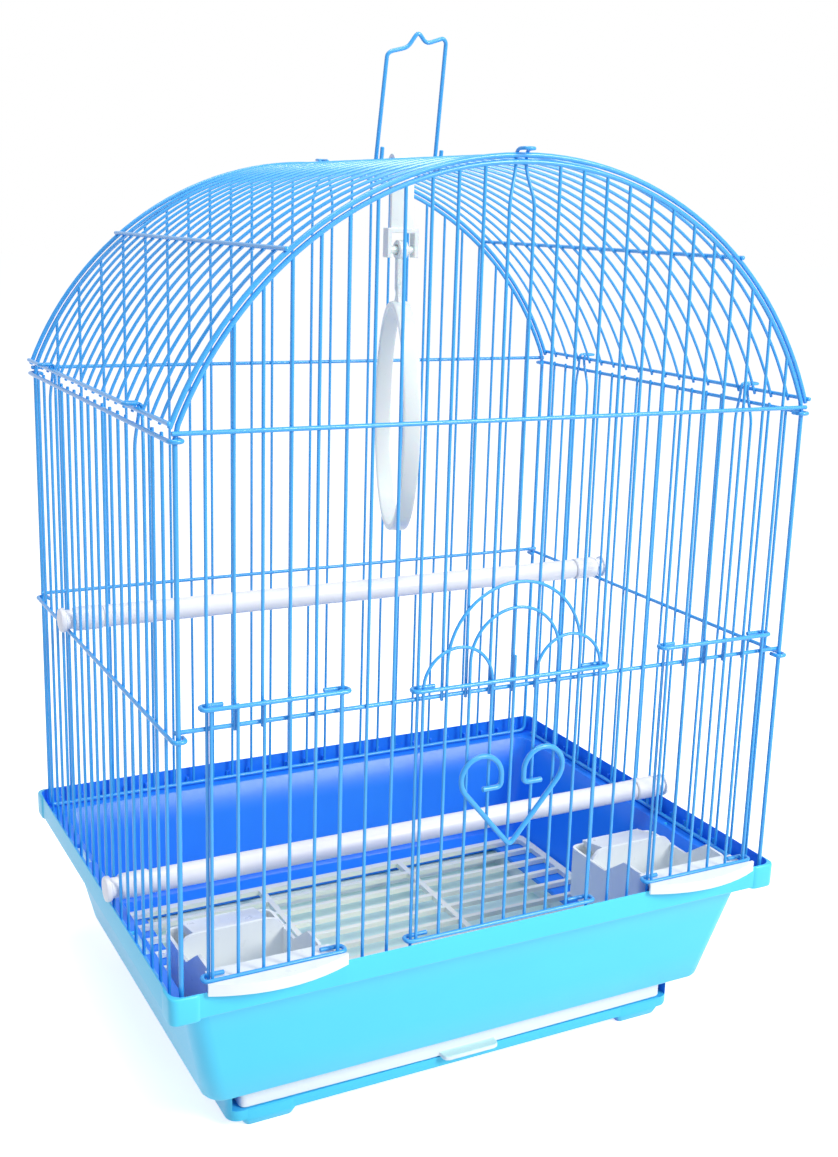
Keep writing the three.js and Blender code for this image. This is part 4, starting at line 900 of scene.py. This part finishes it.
def swing_parts():
    """The ring with its neck, stem and eye, turned a little away from the front."""
    pin_z = 420.85
    top = pin_z - 26.4
    turn = math.radians(73)
    neck, neck_faces = ring_stack([
        (9.5, 1.7, 0.6, top - 2.6), (6.6, 1.75, 0.6, top - 0.6), (3.6, 1.75, 0.6, top + 3.0),
        (2.3, 1.75, 0.6, top + 8.0), (1.7, 1.6, 0.6, top + 9.0),
    ], 3, False)
    sine, cosine = math.sin(turn), math.cos(turn)
    spun = neck @ np.array([[cosine, sine, 0], [-sine, cosine, 0], [0, 0, 1]])
    stem = ring_stack([
        (1.6, 1.6, 0.6, top + 3.4), (2.4, 1.75, 0.6, top + 6.5), (2.5, 1.75, 0.6, pin_z - 4.0),
    ], 3, False)
    eye = np.array([(-2.5, 2.75), (-2.5, 4.5), (-2.1, 4.95), (2.1, 4.95), (2.5, 4.5), (2.5, 2.75)])
    half_width, half_height, thick, band = 50.0, 61.5, 3.5, 9.0
    ring = hoop(half_width, half_height, top - half_height, thick, band, turn)
    parts = [ring, (spun, neck_faces), stem, lathe(eye, 0, pin_z, 40, True)]
    return [(points + [0, HANDLE_Y, 0], faces) for points, faces in parts]


# Operators


def wire_property(name, description, default):
    """A wire diameter that the user may change."""
    return bpy.props.FloatProperty(name=name, description=description, default=default, unit="LENGTH")


class CageSizes(bpy.types.PropertyGroup):
    """Sizes of the wires."""

    post_wire: wire_property("Frame wire", "Diameter of the frame wires", 0.0023)
    thin_wire: wire_property("Upright wire", "Diameter of upright and roof wires", 0.0016)
    bar_wire: wire_property("Bar wire", "Diameter of bars and handle", 0.0021)


def colour_property(name, description, default):
    """A colour that the user may change."""
    limits = {"size": 3, "min": 0.0, "max": 1.0, "subtype": "COLOR"}
    return bpy.props.FloatVectorProperty(name=name, description=description, default=default, **limits)


class CageColours(bpy.types.PropertyGroup):
    """Colours of the paint and the plastics, and the painted shade inside the tub and on the tray's floor."""

    wire: colour_property("Wire paint", "Enamel on all wires", (0.035, 0.385, 0.86))
    tub: colour_property("Tub", "Outside of the base tub", (0.075, 0.69, 0.95))
    # Painted shade: the deep blue laid on the tub's inner walls, floor and ledge.
    tub_painted_shade: colour_property("Tub inside", "Inner walls of the base tub", (0.012, 0.21, 0.95))
    white: colour_property("White plastic", "Tray and perches", (0.90, 0.91, 0.94))
    # Painted shade: the green-blue tint laid on the slide tray's floor, with light bounced from the tub.
    tray_floor_painted_shade: colour_property("Tray floor", "Floor of the slide tray", (0.70, 0.93, 0.86))
    cup: colour_property("Cup plastic", "Feeder cups", (0.88, 0.93, 0.95))
    grate: colour_property("Grate plastic", "Floor grate", (0.93, 0.95, 0.82))
    swing: colour_property("Swing plastic", "Swing hanger and ring", (0.82, 0.88, 0.86))


def wire_sizes():
    """Frame, upright and bar wire diameters in millimetres."""
    sizes = bpy.context.scene.cage_sizes
    return sizes.post_wire / MM, sizes.thin_wire / MM, sizes.bar_wire / MM


class CAGE_OT_end_panels(bpy.types.Operator):
    """Build the front and back wire panels"""

    bl_idname = "cage.end_panels"
    bl_label = "Front and back panels"

    def execute(self, context):
        draw = np.random.default_rng(11)
        openings = ((1, 6), (9, 17), (20, 25))
        front = end_panel(-HALF_DEPTH, openings, False, wire_sizes(), draw)
        piece("front_wires", front, "wire", "wire_cage", "front_panel")
        back = end_panel(HALF_DEPTH, (), True, wire_sizes(), draw)
        piece("back_wires", back, "wire", "wire_cage", "back_panel")
        return {"FINISHED"}


class CAGE_OT_side_panels(bpy.types.Operator):
    """Build the left and right wire panels"""

    bl_idname = "cage.side_panels"
    bl_label = "Side panels"

    def execute(self, context):
        draw = np.random.default_rng(12)
        right = side_panel(wire_sizes(), draw)
        piece("right_side_wires", right, "wire", "wire_cage", "right_side_panel")
        left = [flipped_x(part) for part in side_panel(wire_sizes(), draw)]
        piece("left_side_wires", left, "wire", "wire_cage", "left_side_panel")
        return {"FINISHED"}


class CAGE_OT_roof(bpy.types.Operator):
    """Build the round wire roof"""

    bl_idname = "cage.roof"
    bl_label = "Roof"

    def execute(self, context):
        piece("roof_wires", roof_panel(wire_sizes()), "wire", "wire_cage", "roof_panel")
        return {"FINISHED"}


class CAGE_OT_doors(bpy.types.Operator):
    """Build the main door with its heart and the two feeder doors"""

    bl_idname = "cage.doors"
    bl_label = "Doors"

    def execute(self, context):
        piece("main_door_wires", main_door(wire_sizes()), "wire", "main_door", "main_door")
        piece("heart_wire", heart(), "wire", "main_door", "door_heart")
        for side, sign in (("left", -1), ("right", 1)):
            parts = feeder_door(sign * FEEDER_CENTRE, wire_sizes())
            piece(f"{side}_feeder_door_wires", parts, "wire", f"{side}_feeder_door", f"{side}_feeder_door")
        return {"FINISHED"}


class CAGE_OT_handle(bpy.types.Operator):
    """Build the carrying handle"""

    bl_idname = "cage.handle"
    bl_label = "Handle"

    def execute(self, context):
        piece("handle_wire", handle(wire_sizes()[2]), "wire", "carry_handle", "carry_handle")
        return {"FINISHED"}


class CAGE_OT_tub(bpy.types.Operator):
    """Build the base tub with its rim, plinth and feet"""

    bl_idname = "cage.tub"
    bl_label = "Base tub"

    def execute(self, context):
        for name, parts, edges in (
            ("tub_bowl", tub_mesh(), {"crease": 32}),
            ("tub_plinth", plinth_mesh(), {"crease": 32}),
            ("rim_corner_blocks", block_mesh(), {}),
            ("plinth_feet", foot_parts(), {}),
            ("ledge_ribs", rib_parts(), {"edge": 0.3}),
        ):
            piece(name, parts, "tub", "base", "base_tub", **edges)
        return {"FINISHED"}


class CAGE_OT_floor_parts(bpy.types.Operator):
    """Build the slide tray and the floor grate"""

    bl_idname = "cage.floor_parts"
    bl_label = "Tray and grate"

    def execute(self, context):
        piece("tray_pan", solid_copy("slide_tray"), "tray", "slide_tray", "slide_tray", edge=0.7)
        piece("grate_lattice", solid_copy("floor_grate"), "grate", "floor_grate", "floor_grate", edge=0.5)
        return {"FINISHED"}


class CAGE_OT_cups(bpy.types.Operator):
    """Build the two feeder cups"""

    bl_idname = "cage.cups"
    bl_label = "Feeder cups"

    def execute(self, context):
        for side in ("left", "right"):
            node = f"{side}_feeder_cup"
            piece(f"{side}_cup_shell", solid_copy(node), "cup", node, node, edge=0.6)
        return {"FINISHED"}


class CAGE_OT_perches(bpy.types.Operator):
    """Build the perch rods and their end caps"""

    bl_idname = "cage.perches"
    bl_label = "Perches"

    def execute(self, context):
        half = np.array([
            (0, 6.0), (148.6, 6.0), (149.6, 5.7), (149.9, 5.2), (150.0, 4.5), (159.0, 4.5), (159.9, 4.0),
        ])
        rod = np.vstack([half[::-1] * [-1, 1], half[1:]])
        cap = np.array([
            (160.0, 4.6), (150.3, 4.9), (150.3, 5.1), (150.3, 6.0), (150.8, 6.5), (164.6, 6.5),
            (165.2, 6.1), (165.25, 5.2), (169.9, 5.2), (169.95, 6.0), (170.4, 6.5), (172.0, 6.5),
            (172.7, 6.1), (172.9, 5.0),
        ])
        for level, index, z in zip(("lower", "upper"), PERCH_WIRES, (RIM_TOP + 6.85, 224.8)):
            y = -HALF_DEPTH + (index + 0.5) * SIDE_PITCH
            right = lathe(cap, y, z, 48)
            for name, shape, node in (
                ("perch_bar", lathe(rod, y, z, 48), "perch_rod"),
                ("right_end_cap", right, "perch_right_cap"),
                ("left_end_cap", flipped_x(right), "perch_left_cap"),
            ):
                piece(f"{level}_{name}", [shape], "white", "wire_cage", f"{level}_{node}")
        return {"FINISHED"}


class CAGE_OT_swing(bpy.types.Operator):
    """Build the swing hanger and the swing ring"""

    bl_idname = "cage.swing"
    bl_label = "Swing"

    def execute(self, context):
        piece("hanger_strap", solid_copy("swing_hanger"), "swing", "swing_hanger", "swing_hanger", edge=0.4)
        piece("ring_band", swing_parts(), "swing", "swing_ring", "swing_ring")
        return {"FINISHED"}


# Stage

CAMERA_PLACE = (-0.3409, -0.6757, 0.4388)
CAMERA_TURNS = (("Z", 0.492315495), ("X", 1.81267902), ("Z", 0.0330231054))
FOCAL_PIXELS = 1429.0
PHOTO_SIZE = (838, 1157)
PHOTO_CENTRE = (436.4, 568.4)
SENSOR = 36.0
FLOOR_HALF = 12.0
FLOOR_GLOW = 0.74
SURROUNDING = (0.32, 0.35, 0.48, 1.0)
LAMP_COLOUR = (1.0, 0.97, 0.86)
LAMP_AIM = (0, 0, 0.2)
# Lamps: name, place, diameter and power
LAMPS = (("key", (1.1, -1.9, 1.4), 0.9, 46.0), ("overhead", (-0.2, -0.3, 2.2), 1.2, 22.0))


def camera_turn():
    """The camera's axes from its measured turn: three turns about Z, X and Z take world to picture."""
    first, second, last = (Matrix.Rotation(angle, 3, axis) for axis, angle in CAMERA_TURNS)
    return last @ second @ first


def seen_by_camera(flow):
    """1 for what the camera sees, straight, mirrored or through a clear surface, 0 for all other light."""
    path = flow.tree.nodes.new("ShaderNodeLightPath")
    seen = Flow(flow.tree, path.outputs["Is Camera Ray"])
    mirror = Flow(flow.tree, path.outputs["Is Glossy Ray"])
    through = Flow(flow.tree, path.outputs["Is Transmission Ray"])
    return flow.maths("MAXIMUM", seen, flow.maths("MAXIMUM", mirror, through))


class CAGE_OT_stage(bpy.types.Operator):
    """Make the floor, the light and the camera"""

    bl_idname = "cage.stage"
    bl_label = "Stage"

    def execute(self, context):
        scene = context.scene
        self.make_floor(scene)
        self.make_lights(scene)
        self.make_camera(scene)
        scene.view_settings.view_transform = "Standard"
        return {"FINISHED"}

    def make_floor(self, scene):
        """A wide pale floor that looks white to the camera and keeps the cage's shadow."""
        mesh = bpy.data.meshes.new("floor")
        corners = [(x * FLOOR_HALF, y * FLOOR_HALF, 0) for x, y in ((-1, -1), (1, -1), (1, 1), (-1, 1))]
        mesh.from_pydata(corners, [], [(0, 1, 2, 3)])
        floor = bpy.data.objects.new("floor", mesh)
        scene.collection.objects.link(floor)
        material = bpy.data.materials.new("pale_floor")
        material.use_nodes = True
        tree = material.node_tree
        tree.nodes.remove(tree.nodes["Principled BSDF"])
        flow = Flow(tree)
        shown = seen_by_camera(flow)
        pale = flow.node("ShaderNodeBsdfDiffuse", None, {"Color": (0.8, 0.8, 0.8, 1)})
        glow = flow.node("ShaderNodeEmission", None, {"Color": (1, 1, 1, 1), "Strength": FLOOR_GLOW})
        lit = flow.node("ShaderNodeAddShader", None, {0: pale, 1: glow})
        mixed = flow.node("ShaderNodeMixShader", None, {0: shown, 1: pale, 2: lit})
        tree.links.new(mixed.socket, tree.nodes["Material Output"].inputs["Surface"])
        mesh.materials.append(material)

    def make_lights(self, scene):
        """An even, slightly blue surrounding that looks white, a soft lamp at the front right and one
        overhead."""
        world = bpy.data.worlds.new("studio")
        scene.world = world
        world.use_nodes = True
        tree = world.node_tree
        flow = Flow(tree)
        shown = seen_by_camera(flow)
        colour = blended(flow, shown, SURROUNDING, (1.0, 1.0, 1.0, 1.0))
        tree.links.new(colour.socket, tree.nodes["Background"].inputs["Color"])
        for name, place, size, power in LAMPS:
            lamp = bpy.data.lights.new(name, "AREA")
            lamp.shape = "DISK"
            lamp.size = size
            lamp.energy = power
            lamp.color = LAMP_COLOUR
            holder = bpy.data.objects.new(name, lamp)
            holder.location = place
            aim = Vector(LAMP_AIM) - Vector(place)
            holder.rotation_mode = "QUATERNION"
            holder.rotation_quaternion = aim.to_track_quat("-Z", "Y")
            scene.collection.objects.link(holder)

    def make_camera(self, scene):
        """The camera at the photograph's place, turn, angle of view and shift."""
        data = bpy.data.cameras.new("photo_camera")
        data.sensor_fit = "VERTICAL"
        data.sensor_height = SENSOR
        data.sensor_width = SENSOR
        width, height = PHOTO_SIZE
        data.lens = SENSOR * FOCAL_PIXELS / height
        data.shift_x = (width / 2 - PHOTO_CENTRE[0]) / height
        data.shift_y = (PHOTO_CENTRE[1] - height / 2) / height
        data.clip_start = 0.01
        data.clip_end = 100.0
        camera = bpy.data.objects.new("photo_camera", data)
        scene.collection.objects.link(camera)
        turn = camera_turn()
        axes = Matrix((turn[0], -turn[1], -turn[2])).transposed()
        camera.matrix_world = Matrix.Translation(CAMERA_PLACE) @ axes.to_4x4()
        scene.camera = camera


class CAGE_PT_sidebar(bpy.types.Panel):
    """Lists the cage's sizes, colours and pieces"""

    bl_idname = "CAGE_PT_sidebar"
    bl_label = "Parakeet cage"
    bl_space_type = "VIEW_3D"
    bl_region_type = "UI"
    bl_category = "Cage"

    def draw(self, context):
        for group in (context.scene.cage_sizes, context.scene.cage_colours):
            for name in group.__annotations__:
                self.layout.prop(group, name)
        for operator in OPERATORS:
            self.layout.operator(operator.bl_idname)


OPERATORS = (
    CAGE_OT_stage, CAGE_OT_end_panels, CAGE_OT_side_panels, CAGE_OT_roof, CAGE_OT_doors, CAGE_OT_handle,
    CAGE_OT_tub, CAGE_OT_floor_parts, CAGE_OT_cups, CAGE_OT_perches, CAGE_OT_swing,
)
CLASSES = (CageSizes, CageColours) + OPERATORS + (CAGE_PT_sidebar,)


def register():
    """Makes the properties, operators and panel known."""
    for item in CLASSES:
        bpy.utils.register_class(item)
    bpy.types.Scene.cage_sizes = bpy.props.PointerProperty(type=CageSizes)
    bpy.types.Scene.cage_colours = bpy.props.PointerProperty(type=CageColours)


def unregister():
    """Takes them away again."""
    del bpy.types.Scene.cage_colours
    del bpy.types.Scene.cage_sizes
    for item in reversed(CLASSES):
        bpy.utils.unregister_class(item)


def main():
    """Builds everything in order."""
    register()
    for operator in OPERATORS:
        group, name = operator.bl_idname.split(".")
        getattr(getattr(bpy.ops, group), name)()


if __name__ == "__main__":
    main()
